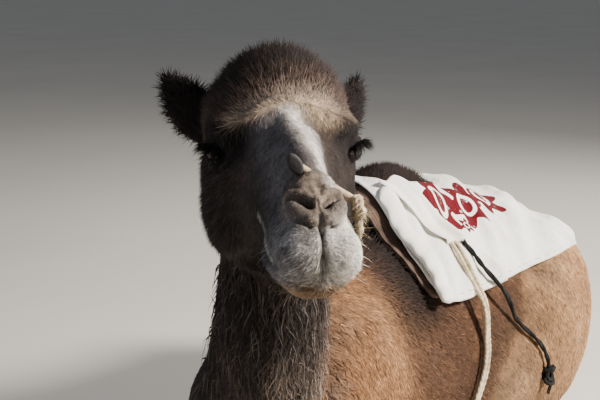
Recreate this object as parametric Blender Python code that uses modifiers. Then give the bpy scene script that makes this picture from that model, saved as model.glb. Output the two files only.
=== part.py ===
"""A couched dromedary camel in its saddle cloth, girths and nose peg, at life size.

Metres, +Z up. The camel faces -Y, its left side is +X, and its neck is bent round to the left.
The origin of the finished parts is the middle of the flat underside of the breast pad, on the
floor at z = 0. While they are made, x = 0 is the line of the straight spine behind the hump,
and the chest is swung to the left of it.
Every form reaches out to the tips of the coat. The body is modelled in a few whole masses,
which are parted into its nameable parts by thin flat cuts.
"""

import math

import bmesh
import bpy
from mathutils import Matrix, Vector
from mathutils.bvhtree import BVHTree

# ---------------------------------------------------------------- driving dimensions

GAP = 0.0004  # left between parts at a flat cut
CLEARANCE = 0.0009  # left round a part that another is shaped to
BODY_VOXEL = 0.014
LIMB_VOXEL = 0.009
HEAD_VOXEL = 0.005

BACK_HEIGHT = 0.94  # withers above the floor, couched
HUMP_TOP = 1.085
HUMP_AT = 0.50  # how far the hump's middle is behind the breast pad
RUMP_END = 1.38
CHEST_HALF_WIDTH = 0.225
BREAST_PAD_AT = 0.088  # the chest's middle, to the left of the spine behind the hump
CHEST_SWING = 12.5  # degrees that the chest and forelegs are turned to the left
BARREL_HALF_WIDTH = 0.33
FORELEG_SUNK = 0.004  # how deep the foreleg is set into the floor before it is cut flat

EYE_LINE = Vector((0.6705, -0.799, 1.380))  # the middle between the two eyes
HEAD_TURN = math.radians(46)  # to the camel's left of straight ahead
HEAD_DIP = math.radians(2)
LIPS_AT = 0.335  # in front of the eye line, in the head's own frame
EYE_OUT = 0.086
EYE_RADIUS = 0.021

# The saddle's layers, as heights above the coat.
QUILT_INSIDE, QUILT_OUTSIDE = 0.006, 0.012
CLOTH_INSIDE, CLOTH_OUTSIDE = 0.032, 0.036
FOLD_INSIDE, FOLD_OUTSIDE = 0.052, 0.068
GIRTH_RADIUS = 0.008
STRAP_RADIUS = 0.007

COAT_DARK = (0.045, 0.030, 0.022)
COAT_BROWN = (0.190, 0.110, 0.065)
COAT_FACE = (0.105, 0.085, 0.072)
HORN = (0.060, 0.045, 0.035)
EYE_BROWN = (0.020, 0.010, 0.006)
COTTON_WHITE = (0.760, 0.735, 0.670)
QUILT_BROWN = (0.210, 0.135, 0.085)
ROPE_CREAM = (0.620, 0.540, 0.400)
STRAP_BLACK = (0.020, 0.019, 0.020)
PEG_WOOD = (0.130, 0.075, 0.045)


# ---------------------------------------------------------------- scene and materials

for leftover in list(bpy.data.objects):
    bpy.data.objects.remove(leftover, do_unlink=True)

camel_parts = bpy.data.collections.new("dromedary_camel")
cutters = bpy.data.collections.new("cutters")
bpy.context.scene.collection.children.link(camel_parts)
bpy.context.scene.collection.children.link(cutters)


def material(name, colour, roughness):
    made = bpy.data.materials.new(name)
    made.use_nodes = True
    shader = made.node_tree.nodes["Principled BSDF"]
    shader.inputs["Base Color"].default_value = (*colour, 1.0)
    shader.inputs["Roughness"].default_value = roughness
    shader.inputs["Metallic"].default_value = 0.0
    return made


# ---------------------------------------------------------------- making and joining masses


def new_object(name, shape):
    """An object in the cutters collection that holds the bmesh, which is freed."""
    bmesh.ops.recalc_face_normals(shape, faces=shape.faces[:])
    mesh = bpy.data.meshes.new(name)
    shape.to_mesh(mesh)
    shape.free()
    made = bpy.data.objects.new(name, mesh)
    made.hide_render = True
    made.display_type = "WIRE"
    cutters.objects.link(made)
    return made


def spline_value(values, place):
    """Catmull-Rom through equally spaced values, which may be numbers or vectors."""
    last = len(values) - 1
    start = min(int(place), last - 1)
    t = place - start
    a, b, c, d = (values[max(0, min(last, start + step))] for step in (-1, 0, 1, 2))
    return (
        b
        + (c - a) * (0.5 * t)
        + (a * 2 - b * 5 + c * 4 - d) * (0.5 * t * t)
        + (b * 3 - a - c * 3 + d) * (0.5 * t * t * t)
    )


def loft(name, stations, steps=4, sides=28, squareness=2.0, upward=Vector((0, 0, 1))):
    """A closed tube through stations of (centre, half width, height above, depth below).

    Each ring is a superellipse across the path, its height along the part of `upward`
    that is square to the path.
    """
    centres = [Vector(station[0]) for station in stations]
    sizes = [Vector(station[1:]) for station in stations]
    places = [n / steps for n in range(steps * (len(stations) - 1) + 1)]
    path = [spline_value(centres, place) for place in places]
    rings = []
    shape = bmesh.new()
    for n, place in enumerate(places):
        ahead = (path[min(n + 1, len(path) - 1)] - path[max(n - 1, 0)]).normalized()
        side = ahead.cross(upward).normalized()
        top = side.cross(ahead)
        width, above, below = (max(size, 0.002) for size in spline_value(sizes, place))
        ring = []
        for k in range(sides):
            angle = 2 * math.pi * k / sides
            across, along = math.cos(angle), math.sin(angle)
            across = math.copysign(abs(across) ** (2 / squareness), across)
            along = math.copysign(abs(along) ** (2 / squareness), along)
            height = above if along > 0 else below
            ring.append(shape.verts.new(path[n] + side * (across * width) + top * (along * height)))
        rings.append(ring)
    for near, far in zip(rings, rings[1:]):
        for k in range(sides):
            shape.faces.new((near[k], near[k - 1], far[k - 1], far[k]))
    shape.faces.new(rings[0])
    shape.faces.new(rings[-1])
    return new_object(name, shape)


def ellipsoid(name, centre, radii, turn=(0.0, 0.0, 0.0)):
    """An ellipsoid turned by angles in degrees about its own X, Y and Z."""
    shape = bmesh.new()
    bmesh.ops.create_uvsphere(shape, u_segments=32, v_segments=20, radius=1.0)
    turning = Matrix.Identity(4)
    for angle, axis in zip(turn, "XYZ"):
        turning = Matrix.Rotation(math.radians(angle), 4, axis) @ turning
    placed = Matrix.Translation(centre) @ turning @ Matrix.Diagonal((*radii, 1.0))
    bmesh.ops.transform(shape, matrix=placed, verts=shape.verts[:])
    return new_object(name, shape)


def tube(name, points, radius, closed=False):
    """A round cord along the points, as a mesh whose ends are capped."""
    curve = bpy.data.curves.new(name, "CURVE")
    curve.dimensions = "3D"
    curve.bevel_depth = radius
    curve.bevel_resolution = 2
    curve.use_fill_caps = not closed
    spline = curve.splines.new("POLY")
    spline.points.add(len(points) - 1)
    for knot, place in zip(spline.points, points):
        knot.co = (*place, 1.0)
    spline.use_cyclic_u = closed
    drawn = bpy.data.objects.new(name, curve)
    cutters.objects.link(drawn)
    meshed = applied(drawn)
    shape = bmesh.new()
    shape.from_mesh(meshed.data)
    bpy.data.objects.remove(meshed, do_unlink=True)
    bmesh.ops.remove_doubles(shape, verts=shape.verts[:], dist=1e-5)
    return new_object(name, shape)


def applied(thing):
    """The object as its modifiers leave it. The one given is removed."""
    bpy.context.view_layer.update()
    evaluated = thing.evaluated_get(bpy.context.evaluated_depsgraph_get())
    mesh = bpy.data.meshes.new_from_object(evaluated)
    name = thing.name
    bpy.data.objects.remove(thing, do_unlink=True)
    made = bpy.data.objects.new(name, mesh)
    made.hide_render = True
    cutters.objects.link(made)
    return made


def copied(thing, name):
    twin = bpy.data.objects.new(name, thing.data.copy())
    twin.hide_render = True
    cutters.objects.link(twin)
    return twin


def fused(name, masses, voxel, passes=4):
    """The masses run together into one smooth closed skin. They are used up."""
    shape = bmesh.new()
    for mass in masses:
        shape.from_mesh(mass.data)
        bpy.data.objects.remove(mass, do_unlink=True)
    whole = new_object(name, shape)
    remesh = whole.modifiers.new("one_skin", "REMESH")
    remesh.mode = "VOXEL"
    remesh.voxel_size = voxel
    smooth = whole.modifiers.new("blend", "SMOOTH")
    smooth.factor = 0.5
    smooth.iterations = passes
    return applied(whole)


def decimated(thing, triangles):
    """The object with about that many triangles."""
    count = sum(len(face.vertices) - 2 for face in thing.data.polygons)
    fewer = thing.modifiers.new("fewer_faces", "DECIMATE")
    fewer.ratio = min(1.0, triangles / count)
    return applied(thing)


def grown(thing, name, distance):
    """A copy of the object that stands that far proud of it all over."""
    twin = copied(thing, name)
    swell = twin.modifiers.new("proud", "DISPLACE")
    swell.mid_level = 0.0
    swell.strength = distance
    swell.direction = "NORMAL"
    return applied(twin)


def boolean(thing, tool, operation):
    """The object cut by, or kept inside, the tool, which is used up."""
    cut = thing.modifiers.new("cut", "BOOLEAN")
    cut.operation = operation
    cut.solver = "EXACT"
    cut.object = tool
    made = applied(thing)
    bpy.data.objects.remove(tool, do_unlink=True)
    return largest_body(made)


def carved(thing, neighbours, clearance=CLEARANCE):
    """The object less its neighbours, with the clearance all round them."""
    for neighbour in neighbours:
        thing = boolean(thing, grown(neighbour, "clearance", clearance), "DIFFERENCE")
    return thing


def largest_body(thing):
    """The object without the loose crumbs that a cut may leave."""
    shape = bmesh.new()
    shape.from_mesh(thing.data)
    bmesh.ops.remove_doubles(shape, verts=shape.verts[:], dist=2e-6)
    waiting = set(shape.verts)
    bodies = []
    while waiting:
        front = [waiting.pop()]
        body = set(front)
        while front:
            for edge in front.pop().link_edges:
                for vert in edge.verts:
                    if vert in waiting:
                        waiting.discard(vert)
                        body.add(vert)
                        front.append(vert)
        bodies.append(body)
    bodies.sort(key=len)
    crumbs = [vert for body in bodies[:-1] for vert in body]
    bmesh.ops.delete(shape, geom=crumbs, context="VERTS")
    shape.to_mesh(thing.data)
    shape.free()
    return thing


def half(thing, name, point, normal):
    """A closed copy of what lies on the side of the plane that the normal points to."""
    twin = copied(thing, name)
    shape = bmesh.new()
    shape.from_mesh(twin.data)
    normal = Vector(normal).normalized()
    bmesh.ops.bisect_plane(
        shape,
        geom=shape.verts[:] + shape.edges[:] + shape.faces[:],
        dist=1e-6,
        plane_co=Vector(point) + normal * (GAP / 2),
        plane_no=normal,
        clear_inner=True,
    )
    rim = [edge for edge in shape.edges if edge.is_boundary]
    bmesh.ops.holes_fill(shape, edges=rim, sides=0)
    bmesh.ops.recalc_face_normals(shape, faces=shape.faces[:])
    shape.to_mesh(twin.data)
    shape.free()
    return largest_body(twin)


def parted(thing, names, point, normal):
    """The object in two at the plane: first what lies behind it, then what lies ahead."""
    behind = half(thing, names[0], point, -Vector(normal))
    ahead = half(thing, names[1], point, Vector(normal))
    bpy.data.objects.remove(thing, do_unlink=True)
    return behind, ahead


def on_floor(thing):
    """The object cut flat where it would reach below the floor."""
    name = thing.name
    above = half(thing, "above_floor", (0, 0, -GAP / 2), (0, 0, 1))
    bpy.data.objects.remove(thing, do_unlink=True)
    above.name = name
    return above


def keep(thing, name, colour, roughness=0.85):
    """The finished part, under its own name and in its own material."""
    mesh = thing.data
    mesh.name = name
    mesh.transform(Matrix.Translation((-BREAST_PAD_AT, 0, 0)))
    bpy.data.objects.remove(thing, do_unlink=True)
    made = bpy.data.objects.new(name, mesh)
    made.data.materials.clear()
    made.data.materials.append(material(name, colour, roughness))
    camel_parts.objects.link(made)
    return made


# ---------------------------------------------------------------- the head's own frame

HEAD_FRAME = (
    Matrix.Translation(EYE_LINE)
    @ Matrix.Rotation(HEAD_TURN - math.pi / 2, 4, "Z")
    @ Matrix.Rotation(HEAD_DIP, 4, "Y")
)


def in_head(x, y, z):
    """A point given forward, to the left and above the middle of the eye line."""
    return HEAD_FRAME @ Vector((x, y, z))


def head_axis(x, y, z):
    return HEAD_FRAME.to_3x3() @ Vector((x, y, z))


def head_loft(name, profile, squareness=2.0):
    """A loft along the head from (forward, half width, top, bottom, level of the width)."""
    stations = [
        (in_head(x, 0, level), width, top - level, level - bottom)
        for x, width, top, bottom, level in profile
    ]
    return loft(name, stations, steps=3, squareness=squareness, upward=head_axis(0, 0, 1))


def head_ball(name, centre, radii, turn=(0.0, 0.0, 0.0)):
    """An ellipsoid placed and turned in the head's frame."""
    ball = ellipsoid(name, (0, 0, 0), radii, turn)
    ball.data.transform(HEAD_FRAME @ Matrix.Translation(Vector(centre)))
    return ball


# ---------------------------------------------------------------- neck

NECK_STATIONS = (
    ((0.060, 0.16, 0.60), 0.20, 0.31, 0.22),
    ((0.110, -0.04, 0.60), 0.205, 0.33, 0.26),
    ((0.155, -0.22, 0.63), 0.174, 0.28, 0.24),
    ((0.215, -0.35, 0.665), 0.150, 0.22, 0.21),
    ((0.295, -0.445, 0.735), 0.140, 0.180, 0.185),
    ((0.385, -0.515, 0.84), 0.128, 0.155, 0.165),
    ((0.465, -0.59, 0.97), 0.115, 0.135, 0.15),
    ((0.53, -0.66, 1.11), 0.102, 0.115, 0.135),
    ((0.572, -0.700, 1.24), 0.092, 0.100, 0.115),
    ((0.590, -0.718, 1.35), 0.080, 0.085, 0.090),
)


def neck_mass():
    return loft("neck", NECK_STATIONS, steps=4)


# ---------------------------------------------------------------- trunk, hump and tail

TRUNK_STATIONS = (
    ((0.160, -0.32, 0.62), 0.07, 0.13, 0.15),
    ((0.140, -0.24, 0.60), 0.13, 0.25, 0.26),
    ((0.118, -0.13, 0.56), 0.175, 0.35, 0.40),
    ((0.088, 0.00, 0.52), CHEST_HALF_WIDTH, BACK_HEIGHT - 0.52, 0.46),
    ((0.052, 0.15, 0.52), 0.275, BACK_HEIGHT - 0.52, 0.45),
    ((0.014, 0.35, 0.53), 0.312, BACK_HEIGHT - 0.53, 0.42),
    ((0, 0.55, 0.54), BARREL_HALF_WIDTH, 0.40, 0.40),
    ((0, 0.75, 0.55), 0.320, 0.39, 0.37),
    ((0, 0.95, 0.57), 0.295, 0.35, 0.33),
    ((0, 1.14, 0.58), 0.250, 0.29, 0.29),
    ((0, 1.29, 0.57), 0.175, 0.21, 0.22),
    ((0, RUMP_END, 0.56), 0.060, 0.10, 0.10),
)


def trunk_mass():
    return loft("trunk", TRUNK_STATIONS, steps=3, sides=36, squareness=2.1)


def breast_pad_mass():
    return ellipsoid("pad", (BREAST_PAD_AT, 0, 0.055), (0.105, 0.150, 0.075), (0, 0, CHEST_SWING))


def hump_masses():
    peak = ellipsoid("hump", (0, HUMP_AT - 0.04, 0.845), (0.160, 0.265, HUMP_TOP - 0.845))
    slope = ellipsoid("slope", (0, HUMP_AT + 0.13, 0.845), (0.150, 0.290, 0.150))
    return [peak, slope]


def haunch_mass(side):
    return ellipsoid("haunch", (side * 0.222, 1.06, 0.49), (0.160, 0.335, 0.33), (14, 0, side * 4))


def swung(mass, sunk=0.0):
    """The mass moved with the chest, from the straight line to where the chest lies."""
    turn = Matrix.Rotation(math.radians(CHEST_SWING), 4, "Z")
    mass.data.transform(Matrix.Translation((BREAST_PAD_AT, 0, -sunk)) @ turn)
    return mass


def shoulder_mass(side):
    ball = ellipsoid("shoulder", (side * 0.145, -0.05, 0.53), (0.100, 0.20, 0.31), (-12, 0, -side * 20))
    return swung(ball)


def tail_mass():
    stations = (
        ((0.0, 1.24, 0.71), 0.045, 0.050, 0.050),
        ((0.0, 1.36, 0.67), 0.038, 0.036, 0.036),
        ((0.01, 1.425, 0.57), 0.032, 0.026, 0.026),
        ((0.02, 1.45, 0.46), 0.030, 0.022, 0.022),
        ((0.03, 1.46, 0.36), 0.036, 0.028, 0.028),
        ((0.035, 1.465, 0.26), 0.032, 0.026, 0.026),
        ((0.04, 1.47, 0.18), 0.010, 0.008, 0.008),
    )
    return loft("tail", stations, sides=16, upward=Vector((0, 1, 0.3)))


# ---------------------------------------------------------------- legs, folded under the body


def foreleg_mass(side):
    forearm = (
        ((side * 0.225, 0.10, 0.37), 0.070, 0.080, 0.080),
        ((side * 0.235, 0.04, 0.30), 0.085, 0.085, 0.085),
        ((side * 0.232, -0.08, 0.235), 0.075, 0.070, 0.070),
        ((side * 0.222, -0.22, 0.180), 0.058, 0.056, 0.056),
        ((side * 0.212, -0.34, 0.125), 0.050, 0.050, 0.050),
        ((side * 0.206, -0.42, 0.080), 0.058, 0.052, 0.052),
        ((side * 0.203, -0.475, 0.060), 0.036, 0.036, 0.036),
    )
    cannon = (
        ((side * 0.204, -0.45, 0.050), 0.044, 0.044, 0.044),
        ((side * 0.210, -0.34, 0.038), 0.040, 0.038, 0.038),
        ((side * 0.216, -0.22, 0.036), 0.036, 0.036, 0.036),
        ((side * 0.222, -0.11, 0.040), 0.044, 0.042, 0.042),
        ((side * 0.226, -0.03, 0.044), 0.056, 0.044, 0.044),
        ((side * 0.232, 0.05, 0.040), 0.074, 0.040, 0.040),
        ((side * 0.236, 0.11, 0.036), 0.076, 0.034, 0.034),
        ((side * 0.238, 0.155, 0.030), 0.050, 0.022, 0.022),
    )
    masses = [loft("forearm", forearm, sides=20), loft("cannon", cannon, sides=20)]
    for toe in (-1, 1):
        centre = (side * 0.237 + toe * 0.036, 0.115, 0.034)
        masses.append(ellipsoid("toe", centre, (0.036, 0.055, 0.032)))
    masses = [swung(mass, FORELEG_SUNK) for mass in masses]
    return fused("foreleg", [shoulder_mass(side), *masses], LIMB_VOXEL)


def thigh_mass(side):
    stations = (
        ((side * 0.215, 0.93, 0.50), 0.12, 0.16, 0.16),
        ((side * 0.260, 0.78, 0.42), 0.11, 0.16, 0.16),
        ((side * 0.290, 0.64, 0.32), 0.095, 0.13, 0.13),
        ((side * 0.298, 0.54, 0.25), 0.075, 0.09, 0.09),
    )
    return loft("thigh", stations, sides=24)


def hind_leg_mass(side):
    shank = (
        ((side * 0.290, 0.47, 0.225), 0.050, 0.060, 0.060),
        ((side * 0.300, 0.55, 0.215), 0.085, 0.100, 0.085),
        ((side * 0.300, 0.68, 0.185), 0.080, 0.085, 0.075),
        ((side * 0.285, 0.84, 0.140), 0.062, 0.065, 0.055),
        ((side * 0.265, 0.98, 0.100), 0.052, 0.055, 0.048),
        ((side * 0.258, 1.055, 0.085), 0.030, 0.034, 0.030),
    )
    cannon = (
        ((side * 0.258, 1.03, 0.055), 0.038, 0.040, 0.040),
        ((side * 0.270, 0.90, 0.040), 0.038, 0.038, 0.038),
        ((side * 0.285, 0.77, 0.036), 0.036, 0.036, 0.036),
        ((side * 0.297, 0.66, 0.040), 0.044, 0.042, 0.042),
        ((side * 0.303, 0.58, 0.042), 0.052, 0.042, 0.042),
        ((side * 0.310, 0.50, 0.038), 0.068, 0.038, 0.038),
        ((side * 0.314, 0.435, 0.034), 0.068, 0.032, 0.032),
        ((side * 0.316, 0.395, 0.028), 0.046, 0.022, 0.022),
    )
    masses = [haunch_mass(side), thigh_mass(side)]
    masses += [loft("shank", shank, sides=20), loft("cannon", cannon, sides=20)]
    for toe in (-1, 1):
        centre = (side * 0.314 + toe * 0.033, 0.435, 0.032)
        masses.append(ellipsoid("toe", centre, (0.033, 0.055, 0.030)))
    return fused("hind_leg", masses, LIMB_VOXEL)


# ---------------------------------------------------------------- head

SKULL_PROFILE = (
    # forward, half width, top, bottom, level of the greatest width
    (-0.235, 0.020, 0.015, -0.040, -0.01),
    (-0.215, 0.060, 0.062, -0.080, -0.01),
    (-0.175, 0.090, 0.105, -0.130, -0.01),
    (-0.130, 0.102, 0.130, -0.160, -0.02),
    (-0.085, 0.109, 0.136, -0.170, -0.03),
    (-0.040, 0.110, 0.120, -0.164, -0.03),
    (0.000, 0.104, 0.088, -0.154, -0.03),
    (0.040, 0.085, 0.064, -0.144, -0.03),
    (0.090, 0.068, 0.050, -0.134, -0.05),
    (0.140, 0.057, 0.040, -0.126, -0.06),
    (0.190, 0.052, 0.030, -0.116, -0.06),
    (0.235, 0.048, 0.018, -0.113, -0.06),
    (0.275, 0.048, 0.004, -0.114, -0.06),
    (0.305, 0.045, -0.012, -0.108, -0.06),
    (0.325, 0.034, -0.030, -0.094, -0.062),
    (LIPS_AT, 0.016, -0.048, -0.078, -0.064),
)


def head_mass():
    """Skull, brows, cheeks, nose, lips and chin, run together with the top of the neck."""
    masses = [head_loft("skull", SKULL_PROFILE, squareness=2.1), neck_mass()]
    for side in (-1, 1):
        masses += [
            head_ball("brow", (0.000, side * 0.078, 0.024), (0.056, 0.030, 0.028), (0, 0, -side * 16)),
            head_ball("cheek", (-0.060, side * 0.066, -0.090), (0.085, 0.046, 0.080)),
            head_ball("cheekbone", (0.045, side * 0.058, -0.032), (0.060, 0.024, 0.026), (0, 0, -side * 14)),
            head_ball("nostril_flap", (0.275, side * 0.022, -0.008), (0.034, 0.018, 0.019), (0, 25, 0)),
            head_ball("lip_lobe", (0.300, side * 0.023, -0.054), (0.035, 0.026, 0.034), (0, 12, 0)),
            head_ball("lip_corner", (0.235, side * 0.034, -0.082), (0.045, 0.021, 0.026)),
        ]
    masses.append(head_ball("chin", (0.262, 0, -0.098), (0.042, 0.036, 0.024)))
    masses.append(head_ball("bridge", (0.130, 0, 0.014), (0.125, 0.028, 0.032), (0, 7, 0)))
    return fused("whole_head", masses, HEAD_VOXEL, passes=3)


def ear_mass(root, tip, opening, width):
    """A leaf-shaped ear from root to tip, its hollow facing the opening direction."""
    root, tip, opening = in_head(*root), in_head(*tip), head_axis(*opening).normalized()
    shares = ((-0.15, 0.45, 0.014), (0.08, 0.62, 0.016), (0.35, 1.0, 0.015), (0.6, 0.88, 0.012))
    shares += ((0.82, 0.52, 0.009), (0.96, 0.20, 0.006), (1.0, 0.06, 0.003))
    stations = [(root.lerp(tip, t), width * share, thick, thick) for t, share, thick in shares]
    ear = loft("ear", stations, sides=16, upward=opening)
    hollow_middle = root.lerp(tip, 0.52) + opening * 0.020
    along = (tip - root).normalized()
    across = along.cross(opening).normalized()
    facing = Matrix((across, opening, along)).transposed().to_4x4()
    hollow = ellipsoid("hollow", (0, 0, 0), (width * 0.62, 0.019, (tip - root).length * 0.36))
    hollow.data.transform(Matrix.Translation(hollow_middle) @ facing)
    return decimated(boolean(ear, hollow, "DIFFERENCE"), 120)


# ---------------------------------------------------------------- the body, whole, then parted

body = decimated(fused("body", [trunk_mass(), breast_pad_mass(), neck_mass()], BODY_VOXEL, 18), 1180)
body = on_floor(body)
NECK_ROOT = (0.185, -0.29, 0.66)
NECK_ROOT_NORMAL = (0.50, -0.84, 0.20)
NECK_MIDDLE = (0.385, -0.515, 0.84)
NECK_MIDDLE_NORMAL = (0.55, -0.40, 0.73)
POLL_PLANE = in_head(-0.13, 0, -0.155)
POLL_PLANE_NORMAL = head_axis(0.45, 0, 0.90)
trunk, neck = parted(body, ("trunk", "neck"), NECK_ROOT, NECK_ROOT_NORMAL)
neck, spare_top = parted(neck, ("neck", "spare_top"), POLL_PLANE, POLL_PLANE_NORMAL)
bpy.data.objects.remove(spare_top, do_unlink=True)
neck_lower, neck_upper = parted(neck, ("neck_lower", "neck_upper"), NECK_MIDDLE, NECK_MIDDLE_NORMAL)
breast_pad, trunk = parted(trunk, ("breast_pad", "trunk"), (0, 0, 0.060), (0, 0, 1))

hump = carved(decimated(fused("hump", hump_masses(), 0.012), 170), [trunk], 2 * CLEARANCE)
tail = carved(decimated(fused("tail", [tail_mass()], 0.006), 170), [trunk])
tail, tail_tuft = parted(tail, ("tail", "tail_tuft"), (0.02, 1.45, 0.45), (0, 0.1, -1))

# ---------------------------------------------------------------- head, parted

MOUTH_PLANE = in_head(LIPS_AT, 0, -0.0885)
MOUTH_NORMAL = head_axis(0.082, 0, -1)
MUZZLE_PLANE = in_head(0.175, 0, 0)

whole_head = decimated(head_mass(), 1900)
spare_neck, head = parted(whole_head, ("spare_neck", "head"), POLL_PLANE, POLL_PLANE_NORMAL)
bpy.data.objects.remove(spare_neck, do_unlink=True)
head, lower_jaw = parted(head, ("head", "lower_jaw"), MOUTH_PLANE, MOUTH_NORMAL)
head, muzzle = parted(head, ("head", "muzzle"), MUZZLE_PLANE, head_axis(1, 0, 0))

ears = {}
ears["right"] = ear_mass((-0.130, -0.088, -0.010), (-0.150, -0.160, 0.078), (0.9, -0.25, -0.2), 0.036)
ears["left"] = ear_mass((-0.130, 0.088, 0.004), (-0.178, 0.124, 0.074), (0.45, 0.85, 0.0), 0.032)

eyes = {}
for side_name, side in (("left", 1), ("right", -1)):
    place = in_head(0.004, side * EYE_OUT, 0.0)
    eyes[side_name] = ellipsoid("eye_" + side_name, place, (EYE_RADIUS,) * 3)
    eyes[side_name] = decimated(eyes[side_name], 84)
    head = carved(head, [eyes[side_name]])
    ears[side_name] = carved(ears[side_name], [head])

# ---------------------------------------------------------------- nose peg and its tie

PEG_RIGHT = in_head(0.222, -0.014, 0.028)
PEG_LEFT = in_head(0.222, 0.064, -0.022)
peg_line = [PEG_RIGHT.lerp(PEG_LEFT, n / 4) for n in range(5)]
peg = fused(
    "peg",
    [
        tube("shaft", peg_line, 0.0052),
        head_ball("knob", (0.222, -0.015, 0.031), (0.010, 0.0085, 0.014), (35, 0, 0)),
        head_ball("end", (0.222, 0.066, -0.023), (0.008, 0.008, 0.008)),
    ],
    0.0014,
    2,
)
peg = decimated(peg, 130)
muzzle = carved(muzzle, [peg])
peg_tie = fused(
    "tie",
    [
        head_ball("knot", (0.225, 0.060, -0.036), (0.014, 0.012, 0.016)),
        head_ball("frayed_end", (0.228, 0.060, -0.058), (0.010, 0.009, 0.018)),
    ],
    0.0025,
    2,
)
peg_tie = carved(decimated(peg_tie, 80), [peg, muzzle])

# ---------------------------------------------------------------- the form that the saddle lies on

FORM_AXIS_HEIGHT = 0.60
SHEET_REACH = (0.028, 5.0)  # half a step of a sheet: along the spine, and in degrees round it


def form_tree(limb_masses):
    """The trunk and hump run together with the masses, to lay the tack on."""
    whole = fused("form", [trunk_mass(), *hump_masses(), *limb_masses], BODY_VOXEL)
    shape = bmesh.new()
    shape.from_mesh(whole.data)
    bpy.data.objects.remove(whole, do_unlink=True)
    tree = BVHTree.FromBMesh(shape)
    shape.free()
    return tree


FORM = form_tree([make(side) for make in (shoulder_mass, haunch_mass, thigh_mass) for side in (-1, 1)])
FORM_INSIDE_THIGHS = form_tree([haunch_mass(-1), haunch_mass(1)])


def over_form(start, direction, height, form=FORM):
    """The point at that height above the coat, met from inside the body along the direction."""
    place, normal, _, _ = form.ray_cast(Vector(start), Vector(direction).normalized())
    return place + normal * height


def round_body(behind, angle, height, form=FORM):
    """A point on the body by how far it is behind the pad and its angle in degrees from the spine."""
    turn = math.radians(angle)
    start = (0, behind, FORM_AXIS_HEIGHT)
    return over_form(start, (math.sin(turn), 0, math.cos(turn)), height, form)


def draped(behind, angle, height):
    """A point of a sheet that bridges the hollows of the coat, that high above its swells."""
    turn = math.radians(angle)
    start = Vector((0, behind, FORM_AXIS_HEIGHT))
    reaches = []
    for along in (-SHEET_REACH[0], 0, SHEET_REACH[0]):
        for round_it in (-SHEET_REACH[1], 0, SHEET_REACH[1]):
            met = round_body(behind + along, angle + round_it, 0)
            reaches.append((met - start - Vector((0, along, 0))).length)
    return start + Vector((math.sin(turn), 0, math.cos(turn))) * (max(reaches) + height)


def sheet_on_form(name, rows, inside, outside):
    """A cloth over rows of (behind, angle) pairs, between two heights above the coat."""
    shape = bmesh.new()
    rings = [[shape.verts.new(draped(*place, inside)) for place in row] for row in rows]
    closed = rows[0][0] == rows[0][-1]
    for near, far in zip(rings, rings[1:]):
        for k in range(1, len(near)):
            shape.faces.new((near[k - 1], near[k], far[k], far[k - 1]))
    if closed:
        bmesh.ops.remove_doubles(shape, verts=shape.verts[:], dist=1e-6)
    sheet = new_object(name, shape)
    outward = sheet.data.polygons[0].normal.dot(sheet.data.polygons[0].center - Vector((0, 0.5, 0.6)))
    thick = sheet.modifiers.new("thickness", "SOLIDIFY")
    thick.thickness = outside - inside
    thick.offset = 1.0 if outward > 0 else -1.0
    thick.use_even_offset = False
    return applied(sheet)


# ---------------------------------------------------------------- saddle quilt, cloth and folds

OPENING_MIDDLE, OPENING_HALF_LENGTH, OPENING_HALF_ANGLE = 0.555, 0.205, 23.0
SHEET_STEPS = 28
SHEET_RINGS = 4


def around_opening(outline_corner, squareness=5.0):
    """Rows of places from the opening that the hump stands in out to the sheet's hem.

    The hem is a squared oval through the corner given for each quarter turn.
    """
    rows = []
    for ring in range(SHEET_RINGS + 1):
        share = ring / SHEET_RINGS
        row = []
        for step in range(SHEET_STEPS + 1):
            turn = 2 * math.pi * (step % SHEET_STEPS) / SHEET_STEPS
            along, across = math.cos(turn), math.sin(turn)
            reach = (abs(along) ** squareness + abs(across) ** squareness) ** (-1 / squareness)
            hem_behind, hem_angle = outline_corner(along * reach, across * reach)
            hole_behind = OPENING_MIDDLE + OPENING_HALF_LENGTH * along
            hole_angle = OPENING_HALF_ANGLE * across
            row.append(
                (hole_behind + (hem_behind - hole_behind) * share, hole_angle + (hem_angle - hole_angle) * share)
            )
        rows.append(row)
    return rows


def cloth_hem(along, across):
    """The front edge is nearly square to the spine. The rear corners reach further back."""
    front, rear = 0.300, 1.045 + 0.140 * abs(across)
    middle = (front + rear) / 2
    return middle + along * (rear - front) / 2, 63.0 * across


def quilt_hem(along, across):
    front, rear = 0.268, 1.010 + 0.110 * abs(across)
    middle = (front + rear) / 2
    return middle + along * (rear - front) / 2, 60.0 * across


quilt = sheet_on_form("quilt", around_opening(quilt_hem), QUILT_INSIDE, QUILT_OUTSIDE)
cloth = sheet_on_form("cloth", around_opening(cloth_hem), CLOTH_INSIDE, CLOTH_OUTSIDE)
quilt = carved(quilt, [cloth])


def fold_rows(side):
    """The rolled front edge, from beside the spine down to the hem, on one side."""
    rows = []
    for step in range(8):
        share = step / 7
        angle = side * (12 + 49 * share)
        front = 0.290
        width = 0.055 + 0.125 * math.exp(-(((share - 0.5) / 0.22) ** 2))
        rows.append([(front + width * across, angle) for across in (0, 0.25, 0.5, 0.75, 1.0)])
    return rows


folds = {}
for side_name, side in (("left", 1), ("right", -1)):
    fold = sheet_on_form("fold", fold_rows(side), FOLD_INSIDE, FOLD_OUTSIDE)
    folds[side_name] = carved(fold, [cloth])

# ---------------------------------------------------------------- girth rope, side strap and knot

ROPE_CLEARANCE = 0.004
HEM_HEIGHT = 0.755
# Each cord's way from under the fold: how far behind the pad, and the angle from the spine.
GIRTH_ROUTE = ((0.475, 43), (0.470, 54), (0.48, 66), (0.52, 87), (0.61, 110), (0.72, 131), (0.78, 154), (0.80, 180))
GIRTH_POINTS = 36
STRAP_ROUTE = ((0.527, 36), (0.535, 46), (0.56, 57), (0.672, 80), (0.79, 99), (0.85, 114), (0.882, 123))
STRAP_POINTS = 18


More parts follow.
